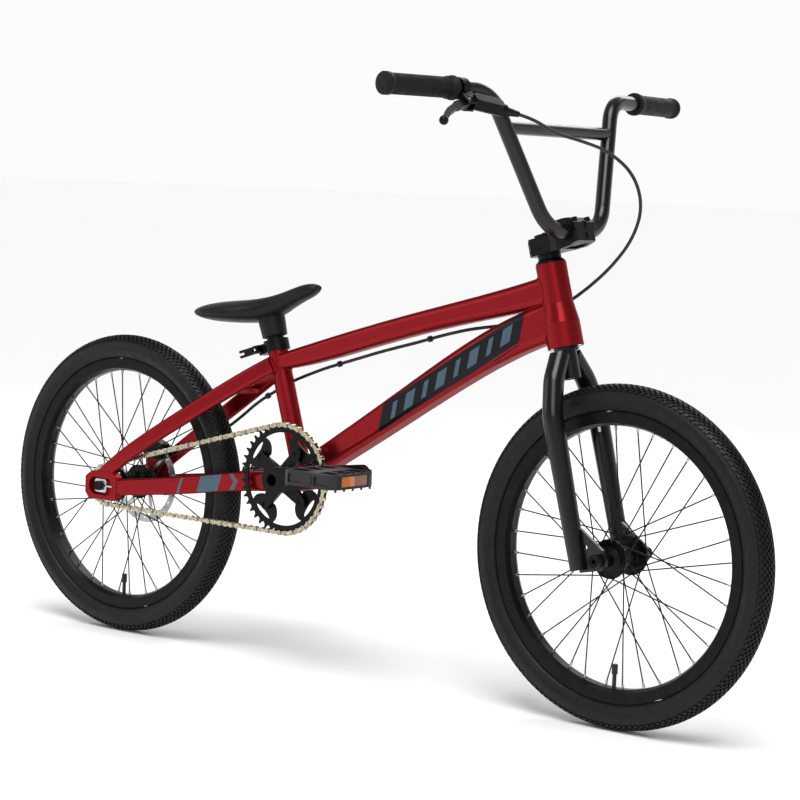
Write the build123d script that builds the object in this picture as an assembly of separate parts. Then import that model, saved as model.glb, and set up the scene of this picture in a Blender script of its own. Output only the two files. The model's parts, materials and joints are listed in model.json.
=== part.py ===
from build123d import *
import math
import os

# BMX race bicycle, millimetres. Origin at the centre of the crank spindle, X forward, Y left, Z up.

# ---- driving dimensions -------------------------------------------------------------------------
# fits
running_gap = 0.05          # radial gap of anything that turns or slides on anything else
seat_gap = 0.05             # radial gap of clamped pieces
body_gap = 0.4              # free gap between neighbours that move apart

# wheels
axle_z = -51.0              # both wheel axles, below the crank spindle
front_axle_x = 600.0
tyre_radius = 248.0
tyre_half_width = 22.5
tyre_wall = 3.0
rim_radius = 208.5
rim_depth = 20.0
rim_half_width = 15.0
rim_wall = 2.6
spoke_count = 36
spoke_radius = 1.0
spoke_cross = 3
nipple_radius = 2.0
nipple_length = 11.0
flange_radius = 28.5
flange_hole_radius = 25.5
flange_half_gap = 27.0
flange_thick = 2.6
outer_spoke_clear = 2.3     # a straight spoke laid outside the flange starts this far off its face
inner_spoke_clear = 0.3
hub_body_radius = 15.0

# drive
ring_teeth = 42
cog_teeth = 16
chain_pitch = 12.7
chain_links = 91            # an odd count, closed with one half link
chain_line = 47.0
roller_radius = 3.9
roller_gap = 0.3
tooth_gap = ((0, roller_radius + roller_gap), (3.0, 5.3), (5.2, 6.1))    # rise, radius of each cut
tooth_thick = 2.6
inner_plate_gap = 3.3
plate_thick = 1.1
pin_radius = 1.8
crank_length = 175.0
crank_angle = 9.0           # right arm above level
crank_face = 75.6
crank_thick = 13.0
spindle_radius = 12.0
spindle_bore_radius = 9.5
bolt_circle_radius = 52.0

# frame
seat_angle = 72.3
seat_tube_top = 216.0       # along the tube from the spindle
seat_tube_radius = 15.9
seat_tube_wall = 2.2
head_angle = 74.24
head_low = (489.8, 240.3)   # X, Z of the head tube's lower rim centre
head_length = 123.5
head_radius = 22.5
head_flare_radius = 26.5
shell_radius = 22.0
shell_half_width = 34.0
dropout_inner = 55.0
dropout_wall = 5.0
dropout_outer = 70.0

# steering
steerer_radius = 14.3
steerer_wall = 2.4
fork_length = 310.3         # head tube's lower rim to the axle, along the steering axis
fork_rake = 26.9
leg_half_gap = 57.0
leg_radius = 15.0
stem_reach = 50.0
stem_low = 137.5            # above the head tube's lower rim
bar_height = 158.5          # bar clamp centre, same datum
bar_radius = 11.1
bar_wall = 1.8
bar_top = 358.0
bar_half_width = 353.5
grip_length = 128.0
grip_radius = 14.7

# brake
rotor_radius = 70.0
rotor_plane = 44.0
rotor_thick = 1.8
pad_gap = 0.4
hose_radius = 2.5

# saddle
post_radius = 13.6
post_head_radius = 14.0
post_head_half = 15.0
post_head_at = 252.0        # pivot centre along the seat tube axis


# ---- helpers ------------------------------------------------------------------------------------
def unit_angle(degrees):
    return math.cos(math.radians(degrees)), math.sin(math.radians(degrees))


def rod(start, end, radius):
    """A solid round bar between two points."""
    line = Vector(*end) - Vector(*start)
    plane = Plane(origin=start, z_dir=line)
    return plane.location * extrude(Circle(radius), line.length)


def pipe(start, end, radius, bore):
    """A round tube between two points."""
    return rod(start, end, radius) - rod(start, end, bore)


def along_y(sketch, y_from, y_to, x=0, z=0):
    """A sketch drawn in X and Z, given thickness from one Y to another."""
    low, high = min(y_from, y_to), max(y_from, y_to)
    plane = Plane(origin=(x, high, z), x_dir=(1, 0, 0), z_dir=(0, -1, 0))
    return plane.location * extrude(sketch, high - low)


def disc_y(x, z, radius, y_from, y_to):
    return along_y(Circle(radius), y_from, y_to, x, z)


def box_between(low, high):
    size = [high[i] - low[i] for i in range(3)]
    centre = [(high[i] + low[i]) / 2 for i in range(3)]
    return Pos(*centre) * Box(*size)


def wheel_place(x):
    """Local Z becomes the bike's Y at a wheel axle."""
    return Plane(origin=(x, 0, axle_z), x_dir=(1, 0, 0), z_dir=(0, 1, 0)).location


def spun(points, where):
    """A ring turned from a closed outline of (radius, offset) points."""
    face = make_face(Polyline(*[(r, 0, y) for r, y in points], close=True))
    return where * revolve(face, Axis.Z)


def group(solids):
    flat = []
    for item in solids:
        flat += list(item.solids())
    return Compound(children=flat) if len(flat) > 1 else flat[0]


def hose_radii(points):
    """Bend radius at each inner corner: 0.45 of the shorter run over the tangent of half the turn."""
    radii = []
    for before, corner, after in zip(points, points[1:], points[2:]):
        run_in = Vector(*corner) - Vector(*before)
        run_out = Vector(*after) - Vector(*corner)
        half_turn = math.radians(run_in.get_angle(run_out) / 2)
        radii.append(0.45 * min(run_in.length, run_out.length) / math.tan(half_turn))
    print("hose radii", [round(r, 1) for r in radii])
    return radii


steer_c, steer_s = unit_angle(head_angle)
steer = Plane(
    origin=(head_low[0], 0, head_low[1]), x_dir=(steer_s, 0, steer_c), z_dir=(-steer_c, 0, steer_s)
).location          # local X forward, Z up the steering axis, zero at the head tube's lower rim

seat_c, seat_s = unit_angle(seat_angle)


def on_seat(distance, forward=0.0, y=0.0):
    """A point on the seat tube axis, this far from the spindle."""
    return (-seat_c * distance + seat_s * forward, y, seat_s * distance + seat_c * forward)


seat = Plane(origin=(0, 0, 0), x_dir=(seat_s, 0, seat_c), z_dir=(-seat_c, 0, seat_s)).location

# ---- chain geometry: the rear axle sits where the chain's length puts it -------------------------
ring_pitch_radius = chain_pitch / (2 * math.sin(math.pi / ring_teeth))
cog_pitch_radius = chain_pitch / (2 * math.sin(math.pi / cog_teeth))


def chain_spans(centres):
    """Links in one straight run, round the cog and round the ring, and the runs' lean."""
    lean = math.asin((ring_pitch_radius - cog_pitch_radius) / centres)
    straight = centres * math.cos(lean) / chain_pitch
    around_cog = cog_teeth * (0.5 - lean / math.pi)
    around_ring = ring_teeth * (0.5 + lean / math.pi)
    return straight, around_cog, around_ring, lean


centres = 390.0
for step in range(30):
    straight, around_cog, around_ring, chain_lean = chain_spans(centres)
    centres -= (2 * straight + around_cog + around_ring - chain_links) * chain_pitch / 2
rear_axle_x = -math.sqrt(centres ** 2 - axle_z ** 2)
centre_slope = math.atan2(-axle_z, -rear_axle_x)


def on_ring(angle):
    return (ring_pitch_radius * math.cos(angle), ring_pitch_radius * math.sin(angle))


def on_cog(angle):
    return (rear_axle_x + cog_pitch_radius * math.cos(angle), axle_z + cog_pitch_radius * math.sin(angle))


def between(start, end, share):
    return tuple(a + share * (b - a) for a, b in zip(start, end))


def chain_point(count):
    """Where the chain's pitch line is, this many links from the top of the ring, rearward first."""
    top = math.pi / 2 + centre_slope + chain_lean
    low = -math.pi / 2 + centre_slope - chain_lean
    count = count % chain_links
    if count < straight:
        return between(on_ring(top), on_cog(top), count / straight)
    count -= straight
    if count < around_cog:
        return on_cog(top + 2 * math.pi * count / cog_teeth)
    count -= around_cog
    if count < straight:
        return between(on_cog(low), on_ring(low), count / straight)
    return on_ring(low + 2 * math.pi * (count - straight) / ring_teeth)


# ---- frame --------------------------------------------------------------------------------------
def head_envelope():
    flare_low, flare_high = 36, 64
    outline = [
        (0, 0), (head_flare_radius, 0), (head_flare_radius, flare_low),
        (head_radius, flare_high), (head_radius, head_length), (0, head_length),
    ]
    return spun_z(outline, steer)


def spun_z(points, where):
    face = make_face(Polyline(*[(r, 0, z) for r, z in points], close=True))
    return where * revolve(face, Axis.Z)


bearing_height = 7.0
bearing_radius = 20.0
low_bearing_radius = 23.5


def head_tube():
    bore = steerer_radius + 3.0
    bores = spun_z([(0, -1), (bore, -1), (bore, head_length + 1), (0, head_length + 1)], steer)
    low_seat = spun_z(
        [(0, -1), (low_bearing_radius, -1), (low_bearing_radius, bearing_height), (0, bearing_height)], steer)
    top_from = head_length - bearing_height
    top_seat = spun_z(
        [(0, top_from), (bearing_radius, top_from), (bearing_radius, head_length + 1), (0, head_length + 1)], steer)
    return head_envelope() - bores - low_seat - top_seat


def headset_bearings():
    inner = steerer_radius + running_gap
    low = spun_z(
        [(inner + 1.6, 0.4), (low_bearing_radius, 0.4), (low_bearing_radius, bearing_height),
         (inner + 1.6, bearing_height)], steer)
    top_from = head_length - bearing_height
    top = spun_z(
        [(inner, top_from), (bearing_radius, top_from), (bearing_radius, head_length - 0.4),
         (inner, head_length - 0.4)], steer)
    return group([low, top])


def oblong(width, height, corner):
    return RectangleRounded(width, height, min(corner, width / 2 - 0.2, height / 2 - 0.2))


def beam(stations):
    """A formed tube lofted through (centre, direction, width, depth, corner) stations."""
    sections = []
    for centre, direction, width, depth, corner in stations:
        plane = Plane(origin=centre, x_dir=(0, 1, 0), z_dir=direction)
        sections.append(plane * oblong(width, depth, corner))
    return loft(sections)


top_tube_slope = 16.3
down_tube_slope = 32.0
tt_c, tt_s = unit_angle(top_tube_slope)
dt_c, dt_s = unit_angle(down_tube_slope)


def seat_envelope(extra=0.0, length=seat_tube_top):
    return rod((0, 0, 0), on_seat(length + extra), seat_tube_radius)


def shell_envelope():
    return disc_y(0, 0, shell_radius, -shell_half_width, shell_half_width)


def top_tube_solid(inset=0.0):
    way = (tt_c, 0, tt_s)
    stations = [
        ((-48, 0, 179), way, 30 - inset, 26 - inset, 9),
        ((90, 0, 218.5), way, 36 - inset, 33 - inset, 9),
        ((225, 0, 258), way, 38 - inset, 33 - inset, 10),
        ((380, 0, 298.5), way, 40 - inset, 38 - inset, 11),
        ((462, 0, 322), way, 40 - inset, 43 - inset, 12),
    ]
    return beam(stations)


def down_tube_solid(inset=0.0):
    way = (dt_c, 0, dt_s)
    stations = [
        ((5, 0, 6), way, 50 - inset, 36 - inset, 12),
        ((95, 0, 62), way, 50 - inset, 40 - inset, 12),
        ((245, 0, 158), way, 50 - inset, 47 - inset, 13),
        ((370, 0, 233), way, 47 - inset, 54 - inset, 13),
        ((470, 0, 277), (math.cos(math.radians(20)), 0, math.sin(math.radians(20))), 42 - inset, 58 - inset, 12),
    ]
    return beam(stations)


def top_tube():
    hollow = top_tube_solid(4.4)
    return top_tube_solid() - hollow - head_envelope() - seat_envelope(60)


def down_tube():
    hollow = down_tube_solid(4.4)
    tube = down_tube_solid() - hollow - head_envelope() - shell_envelope() - seat_envelope()
    tube = tube - top_tube_solid()
    return largest(tube)


def largest(shape):
    return max(shape.solids(), key=lambda solid: solid.volume)


def seat_tube():
    bore = post_radius + running_gap
    tube = seat_envelope() - shell_envelope()
    post_room = rod(on_seat(70), on_seat(seat_tube_top + 5), bore)
    lower_room = rod((0, 0, 0), on_seat(72), seat_tube_radius - seat_tube_wall)
    slit = seat * box_between((-30, -1, seat_tube_top - 32), (0, 1, seat_tube_top + 1))
    return largest(tube - post_room - lower_room - slit)


cup_radius = 18.5
cup_out = 43.0


def bb_shell():
    return shell_envelope() - disc_y(0, 0, cup_radius - 2, -40, 40)


def bb_bearings():
    """Two threaded cups, each with its cartridge bearing on the spindle."""
    pieces = []
    for side in (-1, 1):
        cup = disc_y(0, 0, cup_radius - 2, side * 22, side * shell_half_width)
        cup += disc_y(0, 0, shell_radius - 0.5, side * shell_half_width, side * cup_out)
        cup -= disc_y(0, 0, spindle_radius + 4.5, side * 20, side * (cup_out + 1))
        bearing = disc_y(0, 0, spindle_radius + 4.5, side * (cup_out - 9), side * (cup_out - 0.5))
        bearing -= disc_y(0, 0, spindle_radius + running_gap, side * 20, side * (cup_out + 1))
        pieces += [cup, bearing]
    return group(pieces)


def mirrored(shape):
    return mirror(shape, about=Plane.XZ)


stay_width = 13.6           # a little less than the dropout blocks that the stays run into


def chainstay_solid():
    level = (-1, 0, 0)
    stations = [
        ((-4, -20, -12), level, 22, 30, 7),
        ((-90, -31.5, -14.5), level, 17, 31, 6),
        ((-165, -43.5, -25.5), level, stay_width, 30, 6),
        ((-265, -57.5, -40), level, stay_width, 28, 6),
        ((-352, -62.2, -51), level, stay_width, 27, 6),
    ]
    return beam(stations)


def seatstay_solid():
    way = (-math.cos(math.radians(33)), 0, -math.sin(math.radians(33)))
    stations = [
        ((-58, -17, 173.5), way, stay_width, 27, 6),
        ((-112, -30, 142), way, stay_width, 27, 6),
        ((-203, -47, 86), way, stay_width, 26, 6),
        ((-295, -60.0, 28), way, 13, 25, 6),
        ((-386, -61.6, -38), way, 12, 25, 5.5),
    ]
    return beam(stations)


window_low = (rear_axle_x - 19, axle_z - 14.5)
window_high = (rear_axle_x + 33, axle_z + 14.5)


def dropout_outline():
    """Eight-sided plate around the axle, grown forward to meet both stays."""
    x, z = rear_axle_x, axle_z
    points = [
        (x - 28, z - 12), (x - 20, z - 22), (x + 36, z - 22), (x + 42, z - 17),
        (x + 42, z + 17), (x + 34, z + 24), (x - 14, z + 24), (x - 28, z + 14),
    ]
    return make_face(Polyline(*[(a, b, 0) for a, b in points], close=True))


def dropout_block(side):
    outline = dropout_outline()
    return along_y(outline, side * dropout_inner, side * dropout_outer)


def dropout(side):
    x, z = rear_axle_x, axle_z
    centre_x = (window_low[0] + window_high[0]) / 2
    window = RectangleRounded(window_high[0] - window_low[0], window_high[1] - window_low[1], 13)
    inner_face = side * (dropout_inner + dropout_wall)
    plate = dropout_block(side) - along_y(window, inner_face, side * (dropout_outer + 1), centre_x, z)
    slot = SlotCenterToCenter(12, 2 * (axle_radius + 0.4))
    plate -= along_y(slot, side * (dropout_inner - 1), side * (inner_face * side + 1), x + 3, z)
    return plate


axle_radius = 5.0
nut_radius = 9.0


def dropouts():
    """Left and right axle plates; the left one carries the brake's tab."""
    left = dropout(1)
    x, z = rear_axle_x, axle_z
    tab_points = [
        (x - 12, z + 24), (x + 34, z + 24), (x + 52, z + 44), (x + 50, z + 60), (x - 2, z + 78), (x - 14, z + 72),
    ]
    tab = along_y(make_face(Polyline(*[(a, b, 0) for a, b in tab_points], close=True)), dropout_inner,
                  dropout_inner + dropout_wall)
    for y in caliper_bolts:
        tab -= caliper_place * (Pos(2, y, 14) * Cylinder(2.5 + seat_gap, 20))
    return group([dropout(-1), left + tab])


def left_tab_clear():
    x, z = rear_axle_x, axle_z
    return box_between((x - 20, dropout_inner - 1, z + 18), (x + 56, dropout_inner + dropout_wall, z + 82))


def chainstays():
    right = largest(chainstay_solid() - shell_envelope() - dropout_block(-1))
    left = largest(mirrored(chainstay_solid()) - shell_envelope() - dropout_block(1))
    return group([right, left])


def seatstays():
    right = seatstay_solid() - seat_envelope() - dropout_block(-1)
    left = mirrored(seatstay_solid()) - seat_envelope() - dropout_block(1) - left_tab_clear()
    upper = rod((-128, -26, 128), (-128, 26, 128), 7)
    lower = rod((-112, -27, -17), (-112, 27, -17), 8)
    stays = [largest(right), largest(left)]
    tubes = [upper - seatstay_solid() - mirrored(seatstay_solid()),
             lower - chainstay_solid() - mirrored(chainstay_solid())]
    return group(stays + [largest(tube) for tube in tubes])


def chain_tensioners():
    """A block on each axle end inside the dropout window, and the screw that pulls it."""
    pieces = []
    x, z = rear_axle_x, axle_z
    for side in (-1, 1):
        y_in = side * (dropout_inner + dropout_wall)
        y_out = side * (dropout_inner + dropout_wall + 4.5)
        block = along_y(RectangleRounded(26, 22, 4), y_in, y_out, x + 2, z)
        block -= disc_y(x, z, axle_radius + seat_gap, side * 40, side * 90)
        y_mid = side * (dropout_inner + dropout_wall + 2.4)
        screw = rod((x + 15.2, y_mid, z), (window_high[0] - 0.3, y_mid, z), 2.2)
        pieces += [block, screw]
    return group(pieces)


def rear_axle():
    """The through axle with a nut and washer at each end."""
    reach = dropout_inner + dropout_wall + 4.5
    axle = disc_y(rear_axle_x, axle_z, axle_radius, -reach - 5, reach + 5)
    pieces = [axle]
    for side in (-1, 1):
        nut = along_y(RegularPolygon(nut_radius - 0.5, 6), side * reach, side * (reach + 5.5), rear_axle_x, axle_z)
        nut -= disc_y(rear_axle_x, axle_z, axle_radius, side * 40, side * 90)
        pieces.append(nut)
    return group(pieces)


# ---- seat ---------------------------------------------------------------------------------------
clamp_low = seat_tube_top - 12
clamp_high = seat_tube_top + 4
skewer_x = -24.0            # behind the seat tube axis
skewer_z = seat_tube_top - 3.5


cam_y = -21.5              # pivot of the quick release's cam, out to the right
cam_pin_radius = 2.5
cam_radius = 6.5
cam_half_height = 6.0
cam_eye_half = 2.2


def across(x, z, radius, y_from, y_to):
    """A round bar along Y in seat tube coordinates."""
    middle = (y_from + y_to) / 2
    return Pos(x, middle, z) * Rot(90, 0, 0) * Cylinder(radius, abs(y_to - y_from))


def seat_clamp():
    """Split collar with its cross bolt, cam washer and nut."""
    outer = Circle(seat_tube_radius + 4.2) + Pos(skewer_x, 0) * RectangleRounded(15, 24, 4)
    collar = extrude(outer, clamp_high - clamp_low)
    collar -= extrude(Circle(seat_tube_radius + seat_gap), clamp_high - clamp_low)
    lip = extrude(Circle(seat_tube_radius + 4.2) - Circle(post_radius + 0.6), 2)
    collar = Pos(0, 0, clamp_low) * collar + Pos(0, 0, clamp_high) * lip
    collar -= box_between((-40, -1.2, clamp_low - 1), (0, 1.2, clamp_high + 3))
    collar -= across(skewer_x, skewer_z, 3.1, -30, 30)
    bolt = across(skewer_x, skewer_z, 3.0, -14.5, 22)
    bolt += across(skewer_x, skewer_z, 2.0, cam_y, -14)
    bolt += Pos(skewer_x, cam_y, skewer_z) * Cylinder(cam_pin_radius, 2 * cam_half_height + 1)
    washer = across(skewer_x, skewer_z, 6.0, -14.4, -12.0) - across(skewer_x, skewer_z, 3.05, -16, -10)
    nut = across(skewer_x, skewer_z, 7.5, 12.0, 20.0) - across(skewer_x, skewer_z, 3.0, 10, 22)
    return group([seat * largest(collar), seat * bolt, seat * washer, seat * nut])


def seat_quick_release():
    """Forked cam lever that lies back along the clamp's right side."""
    cam = Pos(skewer_x, cam_y, skewer_z) * Cylinder(cam_radius, 2 * cam_half_height)
    arm = box_between((skewer_x - 36, cam_y - 2.5, skewer_z - 6), (skewer_x, cam_y + 2.0, skewer_z + 6))
    fork_gap = box_between((skewer_x - 37, cam_y - 9, skewer_z - 2), (skewer_x - 26, cam_y + 9, skewer_z + 2))
    eye_room = Pos(skewer_x, cam_y, skewer_z) * Cylinder(cam_radius + 2, 2 * cam_eye_half)
    pin_room = Pos(skewer_x, cam_y, skewer_z) * Cylinder(cam_pin_radius + running_gap, 30)
    return seat * largest(cam + arm - fork_gap - eye_room - pin_room)


def seat_post():
    """Round post whose head is a cross cylinder that the saddle tilts on."""
    post = rod(on_seat(95), on_seat(post_head_at), post_radius)
    post -= rod(on_seat(90), on_seat(post_head_at - 26), post_radius - 2.5)
    head = seat * (Pos(0, 0, post_head_at) * Rot(90, 0, 0) * Cylinder(post_head_radius, 2 * post_head_half))
    return post + head


neck_low = post_head_at - 24
neck_high = post_head_at + 14
neck_radius = 21.5
saddle_tilt = 8.0


def saddle():
    """Racing saddle, nose up, with the socket that sits on the post's head."""
    stations = [           # X, centre Z, width, height
        (-206, 246.0, 60, 13), (-199, 247.5, 100, 22), (-170, 249.5, 128, 33), (-135, 252.0, 122, 37),
        (-98, 256.5, 88, 38), (-60, 268.0, 54, 33), (-22, 285.0, 40, 26), (6, 295.5, 30, 19), (16, 299.0, 18, 9),
    ]
    sections = []
    for x, z, width, height in stations:
        plane = Plane(origin=(x, 0, z), x_dir=(0, 1, 0), z_dir=(0.96, 0, 0.28))
        sections.append(plane * Ellipse(width / 2, height / 2))
    shell = loft(sections)
    neck = spun_z([(0, neck_low), (neck_radius - 1.5, neck_low), (neck_radius, post_head_at),
                   (neck_radius, neck_high), (0, neck_high)], seat)
    socket = Rot(90, 0, 0) * Cylinder(post_head_radius + running_gap, 2 * (post_head_half + seat_gap))
    swing = math.tan(math.radians(saddle_tilt + 1)) * (post_head_at - neck_low)
    post_room = spun_z([(0, neck_low - 1), (post_radius + body_gap + swing, neck_low - 1),
                        (post_radius + body_gap, post_head_at), (0, post_head_at)], seat)
    return largest(shell + neck - seat * (Pos(0, 0, post_head_at) * socket) - post_room)


# ---- steering -----------------------------------------------------------------------------------
def fork_steerer():
    low, high = -46, 162.0
    tube = rod((0, 0, low), (0, 0, high), steerer_radius)
    bore = steerer_radius - steerer_wall
    tube -= rod((0, 0, low - 1), (0, 0, high + 1), bore)
    race = extrude(Circle(steerer_radius + 4.0) - Circle(steerer_radius), 5.0)
    race = Pos(0, 0, -5.0) * race
    return steer * (tube + race)


leg_bend = [(-3, -14, -10), (-4, -40, -46), (-5, -leg_half_gap, -96), (-5.5, -leg_half_gap, -135)]
leg_foot = (-8.0, -leg_half_gap, -fork_length - 8)
leg_foot_radius = 12.6


def leg_solid():
    """Round blade: a bent upper length, then a straight taper to the foot."""
    path = FilletPolyline(*leg_bend, radius=[60, 70])
    upper = sweep(Plane(origin=path @ 0, z_dir=path % 0) * Circle(leg_radius), path=path)
    top = Plane(origin=path @ 1, x_dir=(1, 0, 0), z_dir=path % 1)
    foot = Plane(origin=leg_foot, x_dir=(1, 0, 0), z_dir=path % 1)
    lower = loft([top * Circle(leg_radius), foot * Circle(leg_foot_radius)])
    return upper + lower


def fork_legs():
    core = rod((0, 0, -60), (0, 0, 10), steerer_radius)
    top = box_between((-40, -40, -5.0), (40, 40, 40))
    leg = leg_solid() - core - top
    return group([steer * largest(leg), steer * mirrored(largest(leg))])


front_hub_half = 50.0
fork_plate_thick = 6.0


def fork_plate(side):
    """Axle plate welded to the front of a leg."""
    u, s = fork_rake, -fork_length
    points = [
        (-8, s + 48), (6, s + 50), (u + 10, s + 13), (u + 13, s), (u + 10, s - 10),
        (u - 2, s - 14), (-8, s - 12),
    ]
    outline = make_face(Polyline(*[(a, b, 0) for a, b in points], close=True))
    hole = Pos(9.5, s + 22) * Circle(3.2)
    plate = along_y(outline - hole, side * front_hub_half, side * (front_hub_half + fork_plate_thick))
    return plate - disc_y(u, s, axle_radius + seat_gap, -80, 80)


def fork_dropouts():
    pieces = []
    for side in (-1, 1):
        leg = leg_solid() if side < 0 else mirrored(leg_solid())
        pieces.append(steer * largest(fork_plate(side) - leg))
    return group(pieces)


def front_axle():
    """Hollow-headed bolt axle: socket head on the right, round stub on the left."""
    face = front_hub_half + fork_plate_thick
    axle = disc_y(front_axle_x, axle_z, axle_radius, -face, face)
    head = disc_y(front_axle_x, axle_z, 9.5, -face - 12, -face)
    head -= along_y(RegularPolygon(3.4, 6), -face - 13, -face - 6, front_axle_x, axle_z)
    stub = disc_y(front_axle_x, axle_z, 9.5, face, face + 14)
    return axle + head + stub


def headset_cover():
    """Lower race, the top cover and the spacer, which turn with the steerer."""
    bore = steerer_radius + seat_gap
    race = spun_z(
        [(steerer_radius, -0.0), (steerer_radius + 1.6, 0.0), (steerer_radius + 1.5, 5.0),
         (steerer_radius, 5.0)], steer)
    cover_low = head_length + 0.3
    cover = spun_z(
        [(bore, cover_low), (head_radius - 0.5, cover_low), (head_radius - 1.0, cover_low + 2.5),
         (17.6, cover_low + 6.2), (bore, cover_low + 6.2)], steer)
    spacer = spun_z(
        [(bore, cover_low + 6.2), (17.0, cover_low + 6.2), (17.0, stem_low), (bore, stem_low)], steer)
    return group([race, cover, spacer] + top_cap())


stem_split = bar_height
stem_front = stem_reach + 19.0
stem_back = -23.0
stem_rear_top = 163.0


def stem_side_outline():
    """Side view of the stem body: low rear block rising to the bar clamp's half."""
    return make_face(Polyline(
        (stem_back, stem_low, 0), (stem_reach, stem_low, 0), (stem_front, stem_low + 5, 0),
        (stem_front, stem_split, 0), (stem_reach - 18, stem_split, 0), (18, stem_rear_top, 0),
        (stem_back + 4, stem_rear_top, 0), (stem_back, stem_rear_top - 5, 0), close=True))


def stem_body():
    side = along_y(stem_side_outline(), -25, 25)
    plan = make_face(Polyline(
        (stem_back, -15, 0), (stem_back + 6, -20, 0), (18, -20, 0), (stem_reach - 18, -25, 0),
        (stem_front - 3, -25, 0), (stem_front, -22, 0), (stem_front, 22, 0), (stem_front - 3, 25, 0),
        (stem_reach - 18, 25, 0), (18, 20, 0), (stem_back + 6, 20, 0), (stem_back, 15, 0), close=True))
    body = side & (Pos(0, 0, stem_low - 5) * extrude(plan, 60))
    body -= rod((0, 0, stem_low - 5), (0, 0, 200), steerer_radius + seat_gap)
    body -= disc_y(stem_reach, bar_height, bar_radius + seat_gap, -60, 60)
    body -= box_between((stem_back - 5, -1.2, stem_low - 5), (0, 1.2, 190))
    for y in (-25, 25):
        side_pocket = box_between((-12, y - 2, 147), (14, y + 2, 154))
        body -= side_pocket
    for u in (-14.5, 14.5):
        for y in (-16, 16):
            body -= Pos(stem_reach + u, y, stem_split - 7.5) * Cylinder(2.5, 15)
    for s in (stem_low + 7, stem_rear_top - 7):
        body -= Pos(-18.6, 0, s) * Rot(90, 0, 0) * Cylinder(2.2, 60)
    body -= Pos(stem_front, 0, stem_split - 9) * Rot(0, 90, 0) * Cylinder(5.5, 3)
    body -= box_between((stem_reach - 14, -16, stem_low - 1), (stem_reach + 14, 16, stem_low + 3))
    return steer * largest(body)


cap_top = stem_split + 20.5


def stem_cap():
    low = stem_split + 1.2
    u = stem_reach
    outline = make_face(Polyline(
        (u - 19, low, 0), (u + 19, low, 0), (u + 19, low + 10, 0), (u + 13, cap_top - 1.5, 0),
        (u + 4, cap_top, 0), (u - 14, cap_top, 0), (u - 19, cap_top - 5, 0), close=True))
    cap = along_y(outline, -25, 25)
    cap -= disc_y(u, bar_height, bar_radius + seat_gap, -60, 60)
    for du in (-14.5, 14.5):
        for y in (-16, 16):
            cap -= Pos(u + du, y, stem_split + 10) * Cylinder(2.6, 30)
            cap -= Pos(u + du, y, low + 20) * Cylinder(4.4, 14)
    cap -= Pos(u + 19, 0, low + 7.5) * Rot(0, 90, 0) * Cylinder(5.5, 3)
    cap -= box_between((u - 9, -11, cap_top - 2), (u + 9, 11, cap_top + 2))
    return steer * largest(cap)


def stem_bolts():
    """Four bar clamp bolts, and two pinch bolts across the rear split."""
    pieces = []
    low = stem_split + 1.2
    for du in (-14.5, 14.5):
        for y in (-16, 16):
            shank = Pos(stem_reach + du, y, stem_split) * Cylinder(2.4, 26)
            head = Pos(stem_reach + du, y, low + 15.5) * (Cylinder(4.2, 5) - Pos(0, 0, 2) * Cylinder(1.9, 3))
            pieces.append(steer * (shank + head))
    for s in (stem_low + 7, stem_rear_top - 7):
        pinch = Pos(-18.6, 0, s) * Rot(90, 0, 0) * Cylinder(2.1, 30)
        pieces.append(steer * pinch)
    return group(pieces)


def top_cap():
    """Steerer top cap with its preload bolt and the star nut inside the steerer."""
    cap = Pos(0, 0, 165.0) * (Cylinder(17.0, 4) - Cylinder(3.1, 4))
    bolt = Pos(0, 0, 155.0) * Cylinder(2.9, 24)
    bolt += Pos(0, 0, 168.4) * Cylinder(4.8, 2.8)
    nut_ring = Cylinder(steerer_radius - steerer_wall - 0.05, 3) - Cylinder(2.9 + 0.05, 3)
    nut = Pos(0, 0, 146.0) * nut_ring
    return [steer * cap, steer * bolt, steer * nut]


grip_sweep = (32.1 - 47.8) / 133.7
grip_rise = 3.9 / 133.7


def bar_point(y):
    """A point of the grip section in steering coordinates, this far out."""
    u = 55.8 + grip_sweep * (abs(y) - 151.4)
    return (u, y, bar_top + grip_rise * (abs(y) - 151.4))


def bar_route(start_y=-bar_half_width):
    low_y, top_y = 66.5, 151.4
    return [
        bar_point(start_y), (55.8, -top_y, bar_top), (stem_reach, -low_y, bar_height),
        (stem_reach, low_y, bar_height), (55.8, top_y, bar_top), bar_point(bar_half_width),
    ]


def bar_solid(radius):
    section = Circle(radius)
    route = bar_route()
    path = FilletPolyline(*route, radius=[50, 58, 58, 50])
    return sweep(Plane(origin=path @ 0, z_dir=path % 0) * section, path=path)


cross_height = 307.0
cross_radius = 9.5


def handlebar():
    """Four-bend bar with the brace tube welded between its uprights."""
    tube = bar_solid(bar_radius) - bar_solid(bar_radius - bar_wall)
    u = stem_reach + (55.8 - stem_reach) * (cross_height - bar_height) / (bar_top - bar_height)
    reach = 66.5 + (151.4 - 66.5) * (cross_height - bar_height) / (bar_top - bar_height)
    brace = pipe((u, -reach, cross_height), (u, reach, cross_height), cross_radius, cross_radius - 1.6)
    brace = largest(brace - bar_solid(bar_radius))
    return group([steer * tube, steer * brace])


def grips():
    """Rubber sleeves with an end flange and an inner collar."""
    pieces = []
    for side in (-1, 1):
        start = Vector(*bar_point(side * (bar_half_width + 4)))
        end = Vector(*bar_point(side * (bar_half_width - grip_length)))
        way = (end - start).normalized()
        sleeve = rod(tuple(start), tuple(end), grip_radius)
        flange = rod(tuple(start), tuple(start + way * 9), grip_radius + 2.8)
        collar = rod(tuple(end - way * 10), tuple(end), grip_radius + 1.6)
        bore = rod(tuple(start + way * 4), tuple(end + way * 5), bar_radius + seat_gap)
        pieces.append(steer * (sleeve + flange + collar - bore))
    return group(pieces)


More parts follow.
